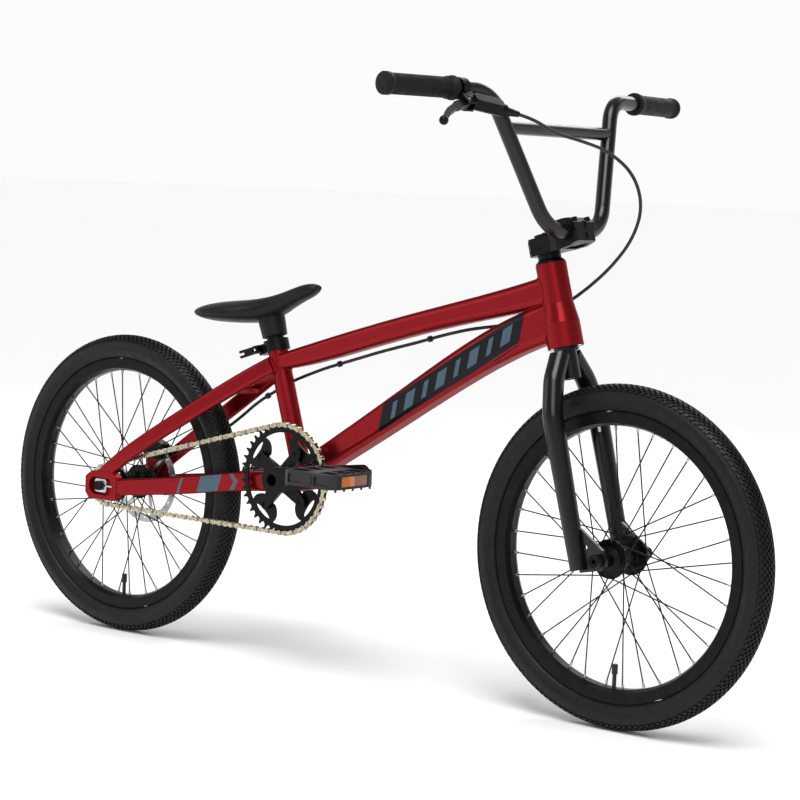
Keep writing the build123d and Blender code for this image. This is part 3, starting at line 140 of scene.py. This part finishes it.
def anodisedBlack():
    # blasted then anodised aluminium: even satin with a fine grit that softens highlights
    material, tree, surface, place = startMaterial("anodisedAluminiumBlack", {"Metallic": 0.75})
    mottle(tree, surface, place, 0.012, "#0e0e10", "#151517")
    mottle(tree, surface, place, 0.02, 0.34, 0.42, "Roughness")
    grainBump(tree, surface, place, 0.0005, 0.00004, 0.35, edge=0.0006)
    return material


def blackSteel():
    # black oxide steel: darker, a little oily sheen
    material, tree, surface, place = startMaterial("blackOxideSteel", {"Metallic": 0.8})
    mottle(tree, surface, place, 0.01, "#0e0e10", "#161618")
    mottle(tree, surface, place, 0.015, 0.26, 0.36, "Roughness")
    grainBump(tree, surface, place, 0.0007, 0.00003, 0.25, edge=0.0003)
    return material


def brightSteel():
    # zinc-plated turned steel: bright with faint turning lines
    material, tree, surface, place = startMaterial("platedSteelBright", {"Metallic": 1.0})
    mottle(tree, surface, place, 0.006, "#b9bbbd", "#d0d2d4")
    mottle(tree, surface, place, 0.004, 0.2, 0.32, "Roughness")
    grainBump(tree, surface, place, 0.0006, 0.00003, 0.3, edge=0.0003)
    return material


def nickelChain():
    # nickel-plated stamped plates: pale gold tint, with painted shade from ambient occlusion darkening the
    # seams and gaps between the plates
    material, tree, surface, place = startMaterial("nickelPlatedChainSteel", {"Metallic": 1.0})
    ramp = mottle(tree, surface, place, 0.005, "#a39a82", "#cfc7b0")
    # painted shade: ambient occlusion darkens the base colour in the seams and gaps where shade falls
    paintedSeamShade = addNode(tree, "ShaderNodeAmbientOcclusion", {"Distance": 0.004, "samples": 6})
    depth = addNode(tree, "ShaderNodeMapRange", {1: 0.45, 2: 0.92, 3: 0.03, 4: 1.0},
                    {0: paintedSeamShade.outputs["AO"]})
    dark = addNode(tree, "ShaderNodeVectorMath", {"operation": "SCALE"}, {0: ramp.outputs["Color"]})
    tree.links.new(depth.outputs[0], dark.inputs["Scale"])
    tree.links.new(dark.outputs[0], surface.inputs["Base Color"])
    mottle(tree, surface, place, 0.003, 0.22, 0.36, "Roughness")
    grainBump(tree, surface, place, 0.0008, 0.00003, 0.3, edge=0.0003)
    return material


def tyreRubber():
    # moulded rubber compound: dull black with a soft sheen and fine mould grain
    material, tree, surface, place = startMaterial("mouldedTyreRubber", {
        "Metallic": 0.0, "IOR": 1.4, "Specular IOR Level": 0.35})
    mottle(tree, surface, place, 0.008, "#0d0d0e", "#151516")
    mottle(tree, surface, place, 0.01, 0.42, 0.56, "Roughness")
    grainBump(tree, surface, place, 0.0009, 0.00012, 0.5)
    return material


def gripRubber():
    # soft thermoplastic rubber: matte, slightly dusty
    material, tree, surface, place = startMaterial("softGripRubber", {
        "Metallic": 0.0, "IOR": 1.4, "Specular IOR Level": 0.35})
    mottle(tree, surface, place, 0.006, "#0b0b0c", "#121213")
    mottle(tree, surface, place, 0.008, 0.55, 0.7, "Roughness")
    grainBump(tree, surface, place, 0.0006, 0.00008, 0.5)
    return material


def mouldedPlastic(name, dark, light, low, high, grit):
    # injection-moulded nylon: spark-eroded texture from the mould, broad dull highlight
    material, tree, surface, place = startMaterial(name, {"Metallic": 0.0, "IOR": 1.53})
    mottle(tree, surface, place, 0.01, dark, light)
    mottle(tree, surface, place, 0.015, low, high, "Roughness")
    grainBump(tree, surface, place, grit, 0.00006, 0.4, edge=0.0006)
    return material


def amberLens(halfway):
    # moulded acrylic over a prism array: glassy front, small cube corners inside
    material, tree, surface, place = startMaterial("amberAcrylicPrisms", {
        "Roughness": 0.12, "IOR": 1.49, "Coat Weight": 1.0, "Coat Roughness": 0.03})
    cells = addNode(tree, "ShaderNodeTexVoronoi", {"Scale": 1 / 0.0028, "Randomness": 0.0},
                    {"Vector": place})
    ramp = addNode(tree, "ShaderNodeValToRGB", {}, {"Fac": cells.outputs["Distance"]})
    ramp.color_ramp.elements[0].color = linear("#f79a30")
    ramp.color_ramp.elements[1].color = linear("#a8480c")
    ramp.color_ramp.elements[0].position, ramp.color_ramp.elements[1].position = 0.1, 0.75
    # the lens is split: the end half is lighter amber, the half towards the crank is a darker brown-amber
    split = addNode(tree, "ShaderNodeSeparateXYZ", {}, {0: place})
    outward = addNode(tree, "ShaderNodeMath", {"operation": "ABSOLUTE"}, {0: split.outputs["Y"]})
    inner = addNode(tree, "ShaderNodeMath", {"operation": "LESS_THAN", 1: abs(halfway.y)},
                    {0: outward.outputs[0]})
    mixed = addNode(tree, "ShaderNodeMix", {"data_type": "RGBA"})
    tree.links.new(inner.outputs[0], mixed.inputs[0])
    tree.links.new(ramp.outputs["Color"], mixed.inputs[6])
    mixed.inputs[7].default_value = linear("#6e2c10")
    tree.links.new(mixed.outputs[2], surface.inputs["Base Color"])
    # painted glow: the lens colour is also emitted faintly, so the reflector glows though it is no lamp
    tree.links.new(mixed.outputs[2], surface.inputs["Emission Color"])
    surface.inputs["Emission Strength"].default_value = 0.12
    bump = addNode(tree, "ShaderNodeBump", {"Strength": 0.5, "Distance": 0.0004},
                   {"Height": cells.outputs["Distance"]})
    tree.links.new(bump.outputs["Normal"], surface.inputs["Normal"])
    return material


def candyPaint(name="candyRedLacquer", marks=None):
    # tinted lacquer over bright metal flake: deep red, lighter where it faces the light
    material, tree, surface, place = startMaterial(name, {
        "Metallic": 0.85, "Coat Weight": 0.16, "Coat Roughness": 0.1, "Coat IOR": 1.45,
        "Specular Tint": linear("#b03036")})
    flake = addNode(tree, "ShaderNodeTexVoronoi", {"Scale": 1 / 0.0007}, {"Vector": place})
    ramp = addNode(tree, "ShaderNodeValToRGB", {}, {"Fac": flake.outputs["Color"]})
    ramp.color_ramp.elements[0].color = linear("#7c1319")
    ramp.color_ramp.elements[1].color = linear("#9c1f26")
    colour = ramp.outputs["Color"]
    if marks:
        for mark, tint in marks(tree, place):
            mixed = addNode(tree, "ShaderNodeMix", {"data_type": "RGBA"})
            tree.links.new(mark, mixed.inputs[0])
            tree.links.new(colour, mixed.inputs[6])
            mixed.inputs[7].default_value = linear(tint)
            colour = mixed.outputs[2]
    tree.links.new(colour, surface.inputs["Base Color"])
    mottle(tree, surface, place, 0.004, 0.3, 0.38, "Roughness")
    grainBump(tree, surface, place, 0.0015, 0.00002, 0.25, edge=0.0007)
    return material


def brushedDisc(centre):
    # ground stainless steel: rings of fine scratches round the axle
    material, tree, surface, place = startMaterial("groundStainlessDisc", {"Metallic": 1.0})
    moved = addNode(tree, "ShaderNodeVectorMath", {"operation": "SUBTRACT", 1: centre}, {0: place})
    radius = addNode(tree, "ShaderNodeVectorMath", {"operation": "LENGTH"}, {0: moved.outputs[0]})
    rings = addNode(tree, "ShaderNodeTexNoise", {
        "noise_dimensions": "1D", "Scale": 1 / 0.0006, "Detail": 3.0}, {"W": radius.outputs["Value"]})
    ramp = addNode(tree, "ShaderNodeValToRGB", {}, {"Fac": rings.outputs["Fac"]})
    ramp.color_ramp.elements[0].color = linear("#9c9da0")
    ramp.color_ramp.elements[1].color = linear("#c8cacc")
    tree.links.new(ramp.outputs["Color"], surface.inputs["Base Color"])
    mottle(tree, surface, place, 0.01, 0.25, 0.35, "Roughness")
    bump = addNode(tree, "ShaderNodeBump", {"Strength": 0.3, "Distance": 0.00004},
                   {"Height": rings.outputs["Fac"]})
    tree.links.new(bump.outputs["Normal"], surface.inputs["Normal"])
    return material


def slantedBars(centre, along, normalUp, bars):
    # stripes across a tube: each bar is (offset along, half width, slant, low edge, high edge), metres
    def marks(tree, place):
        moved = addNode(tree, "ShaderNodeVectorMath", {"operation": "SUBTRACT", 1: centre}, {0: place})
        ahead = addNode(tree, "ShaderNodeVectorMath", {"operation": "DOT_PRODUCT", 1: along},
                        {0: moved.outputs[0]})
        above = addNode(tree, "ShaderNodeVectorMath", {"operation": "DOT_PRODUCT", 1: normalUp},
                        {0: moved.outputs[0]})
        u, v = ahead.outputs["Value"], above.outputs["Value"]
        normal = addNode(tree, "ShaderNodeNewGeometry").outputs["Normal"]
        side = addNode(tree, "ShaderNodeVectorMath", {"operation": "DOT_PRODUCT", 1: (0, 1, 0)},
                       {0: normal})
        side = addNode(tree, "ShaderNodeMath", {"operation": "ABSOLUTE"}, {0: side.outputs["Value"]})
        side = addNode(tree, "ShaderNodeMath", {"operation": "GREATER_THAN", 1: 0.75}, {0: side.outputs[0]})
        for offset, half, slant, low, high, tint in bars:
            lean = addNode(tree, "ShaderNodeMath", {"operation": "MULTIPLY_ADD", 1: -slant, 2: -offset},
                           {0: v})
            away = addNode(tree, "ShaderNodeMath", {"operation": "ADD"}, {0: u, 1: lean.outputs[0]})
            away = addNode(tree, "ShaderNodeMath", {"operation": "ABSOLUTE"}, {0: away.outputs[0]})
            inside = addNode(tree, "ShaderNodeMath", {"operation": "LESS_THAN", 1: half},
                             {0: away.outputs[0]})
            overLow = addNode(tree, "ShaderNodeMath", {"operation": "GREATER_THAN", 1: low}, {0: v})
            underHigh = addNode(tree, "ShaderNodeMath", {"operation": "LESS_THAN", 1: high}, {0: v})
            mask = side.outputs[0]
            for part in (inside, overLow, underHigh):
                joined = addNode(tree, "ShaderNodeMath", {"operation": "MULTIPLY"},
                                 {0: mask, 1: part.outputs[0]})
                mask = joined.outputs[0]
            yield mask, tint
    return marks




def middleOf(name):
    low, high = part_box(name)
    return (low + high) / 2


def millimetres(*values):
    return tuple(v / 1000 for v in values)


slate, charcoal = "#4f6674", "#202226"
# bars are (offset along, half width, slant, low edge, high edge) in mm, then the tint
downTubeMarks = {
    "slope": 32, "bars": [(352, 150, 0.9, -17, 19, charcoal), (352, 150, 0.9, -21, -19, charcoal)]
    + [(232 + 34 * i, 10 if i % 2 else 5, 0.9, -8, 12, slate) for i in range(8)]}
chainstayMarks = {
    "slope": 8.3, "bars": [(-214, 2.5, 0.45, -16, 13, slate), (-157, 20, 0.45, -16, 13, slate),
                           (-106, 4, -0.7, -1.5, 13, slate), (-106, 4, 0.7, -16, -1.5, slate)]}


def tubeMarks(settings):
    a = math.radians(settings["slope"])
    bars = [(*millimetres(u, half), slant, *millimetres(low, high), tint)
            for u, half, slant, low, high, tint in settings["bars"]]
    return slantedBars((0, 0, 0), (math.cos(a), 0, math.sin(a)), (-math.sin(a), 0, math.cos(a)), bars)


saddleSettings = {  # mm
    "ribPitch": 18, "ribsFull": 35, "ribsGone": 75, "ribDepth": 0.6,
    "grit": 1.2, "gritDepth": 0.06, "edge": 1.2,
}


def ribbedSaddle(s):
    # moulded nylon shell: fine grit, with shallow ribs across the tail
    material, tree, surface, place = startMaterial("saddleShellNylon", {
        "Metallic": 0.0, "IOR": 1.4, "Specular IOR Level": 0.4})
    mottle(tree, surface, place, 0.01, "#070708", "#0c0c0d")
    mottle(tree, surface, place, 0.015, 0.42, 0.52, "Roughness")
    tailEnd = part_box("saddle")[0].x
    split = addNode(tree, "ShaderNodeSeparateXYZ", {}, {0: place})
    near = addNode(tree, "ShaderNodeMapRange", {
        1: tailEnd + s["ribsFull"] / 1000, 2: tailEnd + s["ribsGone"] / 1000, 3: 1.0, 4: 0.0,
    }, {0: split.outputs["X"]})
    wave = addNode(tree, "ShaderNodeTexWave", {
        "Scale": 1000 / s["ribPitch"], "Distortion": 0.0, "bands_direction": "X"}, {"Vector": place})
    ribs = addNode(tree, "ShaderNodeMath", {"operation": "MULTIPLY"},
                   {0: wave.outputs["Fac"], 1: near.outputs[0]})
    grain = addNode(tree, "ShaderNodeTexNoise", {"Scale": 1000 / s["grit"], "Detail": 2.0},
                    {"Vector": place})
    edge = addNode(tree, "ShaderNodeBevel", {"Radius": s["edge"] / 1000, "samples": 4})
    fine = addNode(tree, "ShaderNodeBump", {"Strength": 0.35, "Distance": s["gritDepth"] / 1000},
                   {"Height": grain.outputs["Fac"], "Normal": edge.outputs["Normal"]})
    bump = addNode(tree, "ShaderNodeBump", {"Strength": 0.6, "Distance": s["ribDepth"] / 1000},
                   {"Height": ribs.outputs[0], "Normal": fine.outputs["Normal"]})
    tree.links.new(bump.outputs["Normal"], surface.inputs["Normal"])
    return material


materials = {
    "frame_paint": candyPaint(),
    "fork_paint": blackGlossPaint(),
    "black_alloy": anodisedBlack(),
    "black_steel": blackSteel(),
    "bright_steel": brightSteel(),
    "chain_plate": nickelChain(),
    "tyre_rubber": tyreRubber(),
    "grip_rubber": gripRubber(),
    "black_plastic": mouldedPlastic("nylonBlack", "#070708", "#0c0c0d", 0.42, 0.55, 0.0007),
    "saddle_plastic": ribbedSaddle(saddleSettings),
    "reflector": amberLens(middleOf("right_pedal_reflectors")),
    "rotor_steel": brushedDisc(middleOf("rear_axle")),
    "pad_lining": mouldedPlastic("brakeLining", "#2a2522", "#3a332e", 0.8, 0.9, 0.0009),
}
ownMaterial = {
    "down_tube": candyPaint("candyRedLacquerMarkedDown", tubeMarks(downTubeMarks)),
    "chainstays": candyPaint("candyRedLacquerMarkedStay", tubeMarks(chainstayMarks)),
}
slotOf = {part["node"]: part["material_slot"] for part in frame["record"]["subparts"]}
for name, node in nodes.items():
    node.data.materials.clear()
    node.data.materials.append(ownMaterial.get(name, materials[slotOf[name]]))
print("materials:", len(materials) + len(ownMaterial))


def newPiece(name, points, faces, slotName, body, smooth=True, replaced=()):
    mesh = bpy.data.meshes.new(name)
    mesh.from_pydata([tuple(p) for p in points], [], faces)
    mesh.update()
    if smooth:
        mesh.shade_smooth()
    piece = bpy.data.objects.new(name, mesh)
    bpy.context.scene.collection.objects.link(piece)
    mesh.materials.append(materials[slotName])
    if body:
        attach(piece, body)
    if replaced:
        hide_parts(*replaced)
    return piece


def gridFaces(rows, columns, closeRows=True, closeColumns=True):
    faces = []
    for r in range(rows if closeRows else rows - 1):
        for c in range(columns if closeColumns else columns - 1):
            a, b = r * columns + c, r * columns + (c + 1) % columns
            d, e = ((r + 1) % rows) * columns + c, ((r + 1) % rows) * columns + (c + 1) % columns
            faces.append((a, d, e, b))
    return faces


tyreSettings = {
    "segments": 168, "wall": 2.6, "treadHeight": 2.2, "beadHalf": 14.6, "beadRadius": 209.2,
    # each ring on the side wall: degrees from the crown, half width, height
    "rings": [(58, 1.0, 0.6), (68, 0.7, 0.4), (97, 1.6, 0.7)],
    "columns": 156, "rows": [-48, -37, -26.5, -16, -5.4, 5.4, 16, 26.5, 37, 48],
    "blockLong": 6.6, "blockWide": 3.3, "slant": 0.55, "slantSpan": 57,
    "blockSink": 0.4, "blockTaper": 0.82, "edgeBlock": 1.35,
    "depth": 21.8, "lastDegree": 108, "ringSpread": 2.6, "shoulder": [(218.0, 20.2), (213.0, 17.2)],
}


blockFaces = ((4, 5, 6, 7), (0, 1, 5, 4), (1, 2, 6, 5), (2, 3, 7, 6), (3, 0, 4, 7), (3, 2, 1, 0))


def buildTyre(label, body, s):
    low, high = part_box(label)
    centre = (low + high) / 2
    crown, halfWide = (high.x - low.x) / 2 * 1000, (high.y - low.y) / 2 * 1000
    middle = crown - s["depth"]
    rise = crown - s["treadHeight"] - middle

    def casing(degrees, lift=0.0):
        a = math.radians(degrees)
        out = Vector((halfWide * math.cos(a), rise * math.sin(a))).normalized()
        return middle + rise * math.cos(a) + out.x * lift, halfWide * math.sin(a) + out.y * lift

    half = []
    for step in range(0, s["lastDegree"] + 1, 2):
        lift = 0.0
        for at, wide, tall in s["rings"]:
            lift += tall * max(0.0, 1 - abs(step - at) / (wide * s["ringSpread"]))
        half.append(casing(step, lift))
    half += s["shoulder"] + [(s["beadRadius"], s["beadHalf"])]
    outer = [(r, -y) for r, y in reversed(half[1:])] + half
    inner = []
    for r, y in reversed(outer):
        away = Vector((r - middle, y))
        away = away.normalized() * s["wall"] if away.length else away
        inner.append((max(r - away.x, s["beadRadius"] + 0.1), y - away.y))
    ring = outer + inner
    points = []
    for k in range(s["segments"]):
        t = 2 * math.pi * k / s["segments"]
        points += [centre + Vector((r * math.cos(t), y, r * math.sin(t))) / 1000 for r, y in ring]
    newPiece(label + "_casing", points, gridFaces(s["segments"], len(ring)), "tyre_rubber", body,
             replaced=(label,))
    blocks, faces = [], []
    perDegree = math.radians(1) * (halfWide + rise) / 2
    for row, at in enumerate(s["rows"]):
        edgeRow = row in (0, len(s["rows"]) - 1)
        wide = s["blockWide"] * (s["edgeBlock"] if edgeRow else 1.0) / perDegree / 2
        for column in range(s["columns"]):
            mid = (column + 0.5 * (row % 2)) / s["columns"] * 2 * math.pi
            long = s["blockLong"] / 2 / crown
            first = len(blocks)
            for lift, shrink in ((-s["blockSink"], 1.0), (s["treadHeight"], s["blockTaper"])):
                for da, dt in ((-1, -1), (1, -1), (1, 1), (-1, 1)):
                    degrees = at + da * wide * shrink
                    lean = s["slant"] * abs(degrees) / s["slantSpan"] * long * 2
                    turn = mid + dt * long * shrink + lean
                    r, y = casing(degrees, lift)
                    blocks.append(centre + Vector((r * math.cos(turn), y, r * math.sin(turn))) / 1000)
            faces += [tuple(first + i for i in f) for f in blockFaces]
    newPiece(label + "_tread", blocks, faces, "tyre_rubber", body, smooth=False)


buildTyre("front_tyre", "front_wheel", tyreSettings)
buildTyre("rear_tyre", "rear_wheel", tyreSettings)
print("tyres built")

gripSettings = {  # mm; the rings are (distance from the inner or the outer end, radius)
    "around": 96, "along": 128, "radius": 14.6, "pitch": 4.2,
    "groove": 0.7, "sharpness": 4, "ribs": 30, "laneEdge": -0.35, "laneDepth": 0.55,
    "innerRing": [(0.0, 11.3), (0.0, 16.6), (0.7, 17.2), (3.6, 17.2), (4.2, 16.4), (4.4, 15.9),
                  (12.4, 15.9), (13.0, 14.6)],
    "outerRing": [(9.2, 15.9), (1.2, 15.9), (0.0, 14.8), (0.0, 3.0), (0.0, 0.01)],
    "bodyFrom": 13.2, "bodyTo": 9.6,
    "start": (437.3, 225.5, 599.7), "way": (-0.1209, 1.0, -0.0038), "length": 133.3,
}


def buildGrips(s):
    for side, label in ((-1, "right"), (1, "left")):
        start = Vector(millimetres(*s["start"])) * Vector((1, side, 1))
        way = (Vector(s["way"]) * Vector((1, side, 1))).normalized()
        length = s["length"]
        across = way.cross(Vector((0, 0, 1))).normalized()
        up = across.cross(way)
        points = []
        bodyEnd = length - s["bodyTo"]
        spacing = (bodyEnd - s["bodyFrom"]) / s["along"]
        rows = s["innerRing"] + [(s["bodyFrom"] + spacing * k, None) for k in range(s["along"] + 1)]
        rows = rows + [(length - x, radius) for x, radius in s["outerRing"]]
        for x, radius in rows:
            for k in range(s["around"]):
                t = 2 * math.pi * k / s["around"]
                r = radius
                if r is None:
                    ring = abs((x / s["pitch"]) % 1 - 0.5) * 2
                    lane = s["laneDepth"] if math.cos(s["ribs"] * t) < s["laneEdge"] else 0.0
                    cut = max(1 - min(1.0, (1 - ring) * s["sharpness"]), lane)
                    r = s["radius"] - s["groove"] * cut
                out = across * math.cos(t) + up * math.sin(t)
                points.append(start + way * (x / 1000) + out * (r / 1000))
        faces = gridFaces(len(rows), s["around"], closeRows=False)
        newPiece("grip_" + label, points, faces, "grip_rubber", "steering",
                 replaced=("grips",) if side < 0 else ())


buildGrips(gripSettings)
print("grips built")

weldSettings = {  # mm, and how much a bead may differ in size
    "spacing": 2.3, "radius": 1.9, "near": 0.8, "step": 0.8, "smaller": 0.08, "larger": 0.12,
}
weldPairs = [
    ("top_tube", "head_tube"), ("down_tube", "head_tube"), ("down_tube", "top_tube"),
    ("top_tube", "seat_tube"), ("seat_tube", "bb_shell"), ("down_tube", "bb_shell"),
    ("chainstays", "bb_shell"), ("seatstays", "seat_tube"), ("seatstays", "dropouts"),
    ("chainstays", "dropouts"),
]


def seamPoints(first, second, s):
    # the cut end of the first tube lies on the second: the seam is where its end faces meet its walls
    mesh = nodes[first].data
    surface = BVHTree.FromPolygons([v.co for v in nodes[second].data.vertices],
                                   [tuple(f.vertices) for f in nodes[second].data.polygons])
    spotOf = [tuple(round(c, 6) for c in v.co) for v in mesh.vertices]
    onSecond = set()
    for v in mesh.vertices:
        hit = surface.find_nearest(v.co)
        if hit[3] is not None and hit[3] * 1000 < s["near"]:
            onSecond.add(spotOf[v.index])
    whole, partly = set(), set()
    for f in mesh.polygons:
        corners = [spotOf[v] for v in f.vertices]
        sides = {tuple(sorted(pair)) for pair in zip(corners, corners[1:] + corners[:1])}
        (whole if onSecond.issuperset(corners) else partly).update(sides)
    spots = []
    for a, b in sorted(whole & partly):
        start, end = Vector(a), Vector(b)
        steps = max(1, int((end - start).length * 1000 / s["step"]))
        spots += [start.lerp(end, k / steps) for k in range(steps + 1)]
    return spots


def buildWelds(pairs, s):
    ball = bmesh.new()
    bmesh.ops.create_icosphere(ball, subdivisions=2, radius=s["radius"] / 1000)
    ballPoints = [v.co.copy() for v in ball.verts]
    ballFaces = [tuple(v.index for v in f.verts) for f in ball.faces]
    ball.free()
    points, faces, kept = [], [], {}
    cell = s["spacing"] / 1000
    total = 0
    for first, second in pairs:
        for spot in seamPoints(first, second, s):
            key = tuple(int(c // cell) for c in spot)
            cells = itertools.product(*((c - 1, c, c + 1) for c in key))
            beside = [kept[c] for c in cells if c in kept]
            if any((bead - spot).length < cell for bead in beside):
                continue
            kept[key] = spot
            offset = len(points)
            stretch = 1.0 + random.uniform(-s["smaller"], s["larger"])
            points += [spot + p * stretch for p in ballPoints]
            faces += [tuple(offset + i for i in f) for f in ballFaces]
            total += 1
    print("weld beads:", total)
    newPiece("weld_beads", points, faces, "frame_paint", "frame")


buildWelds(weldPairs, weldSettings)

hoseSettings = {  # mm
    "radius": 2.5, "around": 14, "stepsPerPoint": 10, "straight": 4,
    "route": [(480.7, -146.1, 570.4), (490.4, -113.9, 565.5), (504, -72, 545), (514, -22, 537),
              (528, 30, 524), (545, 72, 493), (552, 88, 447), (542, 82, 400), (518, 64, 357),
              (486, 47, 322), (455, 37, 298), (428, 31.5, 284)],
}


def hosePath(route, steps):
    curve = bpy.data.curves.new("hoseRoute", "CURVE")
    curve.dimensions = "3D"
    spline = curve.splines.new("NURBS")
    spline.points.add(len(route) - 1)
    for point, place in zip(spline.points, route):
        point.co = (*millimetres(*place), 1)
    spline.order_u, spline.use_endpoint_u = 3, True
    spline.resolution_u = steps
    guide = bpy.data.objects.new("hoseRoute", curve)
    bpy.context.scene.collection.objects.link(guide)
    bpy.context.view_layer.update()
    line = [v.co.copy() for v in bpy.data.meshes.new_from_object(guide).vertices]
    bpy.data.objects.remove(guide)
    return line


def buildHose(s):
    line = hosePath(s["route"], s["stepsPerPoint"])
    points, side = [], Vector((0, 0, 1))
    for k, place in enumerate(line):
        way = (line[min(k + 1, len(line) - 1)] - line[max(k - 1, 0)]).normalized()
        side = (side - way * side.dot(way)).normalized()
        up = way.cross(side)
        for j in range(s["around"]):
            t = 2 * math.pi * j / s["around"]
            out = side * math.cos(t) + up * math.sin(t)
            points.append(place + out * (s["radius"] / 1000))
    faces = gridFaces(len(line), s["around"], closeRows=False)
    last = len(points) - s["around"]
    faces += [tuple(range(s["around"])), tuple(last + j for j in reversed(range(s["around"])))]
    hose = newPiece("brake_hose_loop", points, faces, "black_plastic", None,
                    replaced=("brake_hose_front",))
    length = sum((b - a).length for a, b in zip(line, line[1:]))
    tuple(line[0])
    [tuple(p) for p in line]
    outlet = line[0].lerp(line[s["straight"]], 0.5)  # the point halfway along the first stretch of the route
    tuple(line[-1])
    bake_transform(hose)
    print("hose length in mm:", round(length * 1000))


buildHose(hoseSettings)

stageSettings = {
    "floorSize": 240.0, "floorDrop": 0.0005, "floorColour": "#f4f4f4", "floorRoughness": 0.8,
    "worldColour": "#ffffff", "wallStrength": 0.97, "roofStrength": 0.3, "wallTop": 0.12, "roofFrom": 0.45,
    "brightWall": (-0.62, 0.78, 0.0), "dimWall": 0.6, "dimUntil": -0.3, "brightFrom": 0.4,
}


def buildStage(s):
    bpy.ops.mesh.primitive_plane_add(size=s["floorSize"], location=(0, 0, cadBox[0].z - s["floorDrop"]))
    floor = bpy.context.object
    floor.name = "floor"
    material, tree, surface, place = startMaterial("paleFloor", {"Roughness": s["floorRoughness"]})
    surface.inputs["Base Color"].default_value = linear(s["floorColour"])
    floor.data.materials.append(material)
    world = bpy.data.worlds.new("studio")
    bpy.context.scene.world = world
    world.use_nodes = True
    tree = world.node_tree
    back = tree.nodes["Background"]
    # white round the horizon like a lit studio wall, dimmer overhead so that black parts stay black
    way = addNode(tree, "ShaderNodeTexCoord").outputs["Generated"]
    split = addNode(tree, "ShaderNodeSeparateXYZ", {}, {0: way})
    level = addNode(tree, "ShaderNodeMapRange", {
        1: s["wallTop"], 2: s["roofFrom"], 3: s["wallStrength"], 4: s["roofStrength"],
    }, {0: split.outputs["Z"]})
    ahead = addNode(tree, "ShaderNodeVectorMath", {"operation": "DOT_PRODUCT", 1: s["brightWall"]},
                    {0: way})
    side = addNode(tree, "ShaderNodeMapRange", {
        1: s["dimUntil"], 2: s["brightFrom"], 3: s["dimWall"], 4: 1.0}, {0: ahead.outputs["Value"]})
    both = addNode(tree, "ShaderNodeMath", {"operation": "MULTIPLY"},
                   {0: level.outputs[0], 1: side.outputs[0]})
    back.inputs[0].default_value = linear(s["worldColour"])
    tree.links.new(both.outputs[0], back.inputs[1])


buildStage(stageSettings)

lampSettings = [  # name, place, what it faces, size across and up, watts
    ("keyFromFront", (2.2, -2.6, 2.4), (0.1, 0, 0.1), 2.0, 1.6, 30),
    ("fillFromLeft", (-2.4, -2.2, 1.6), (0, 0, 0.1), 1.8, 1.8, 14),
    ("rimFromBehind", (-0.6, 2.6, 2.2), (0.1, 0, 0.1), 2.6, 1.0, 34),
]


def addLamp(name, place, aim, across, up, watts):
    lamp = bpy.data.lights.new(name, "AREA")
    lamp.shape, lamp.size, lamp.size_y, lamp.energy = "RECTANGLE", across, up, watts
    thing = bpy.data.objects.new(name, lamp)
    bpy.context.scene.collection.objects.link(thing)
    thing.location = place
    thing.rotation_euler = (Vector(aim) - Vector(place)).to_track_quat("-Z", "Y").to_euler()


for lamp in lampSettings:
    addLamp(*lamp)

# a very soft sun keeps the floor and backdrop near white without lifting the blacks
sunSettings = {"strength": 2.7, "softness": 40, "tilt": (18, 12, 0)}


def addSun(s):
    sun = bpy.data.objects.new("softSun", bpy.data.lights.new("softSun", "SUN"))
    sun.data.energy, sun.data.angle = s["strength"], math.radians(s["softness"])
    sun.rotation_euler = [math.radians(a) for a in s["tilt"]]
    bpy.context.scene.collection.objects.link(sun)


addSun(sunSettings)
print("floor and lights placed")

cameraSettings = {
    "azimuth": 38.42, "elevation": 5.11, "roll": 2.32, "distance": 3.71855,
    "target": (0.18825, 0.0, 0.13814), "lens": 109.953, "sensor": 36, "near": 0.1, "far": 400,
}


def buildCamera(s):
    a, e, r = (math.radians(s[k]) for k in ("azimuth", "elevation", "roll"))
    back = Vector((math.sin(a) * math.cos(e), -math.cos(a) * math.cos(e), math.sin(e)))
    camera = bpy.data.objects.new("camera", bpy.data.cameras.new("camera"))
    bpy.context.scene.collection.objects.link(camera)
    camera.data.lens, camera.data.sensor_width = s["lens"], s["sensor"]
    camera.rotation_mode = "QUATERNION"
    level = (-back).to_track_quat("-Z", "Y")
    camera.rotation_quaternion = level @ Matrix.Rotation(r, 3, "Z").to_quaternion()
    camera.location = Vector(s["target"]) + back * s["distance"]
    camera.data.clip_start, camera.data.clip_end = s["near"], s["far"]
    bpy.context.scene.camera = camera


buildCamera(cameraSettings)
bpy.context.scene.view_settings.view_transform = "Standard"
print("camera placed")
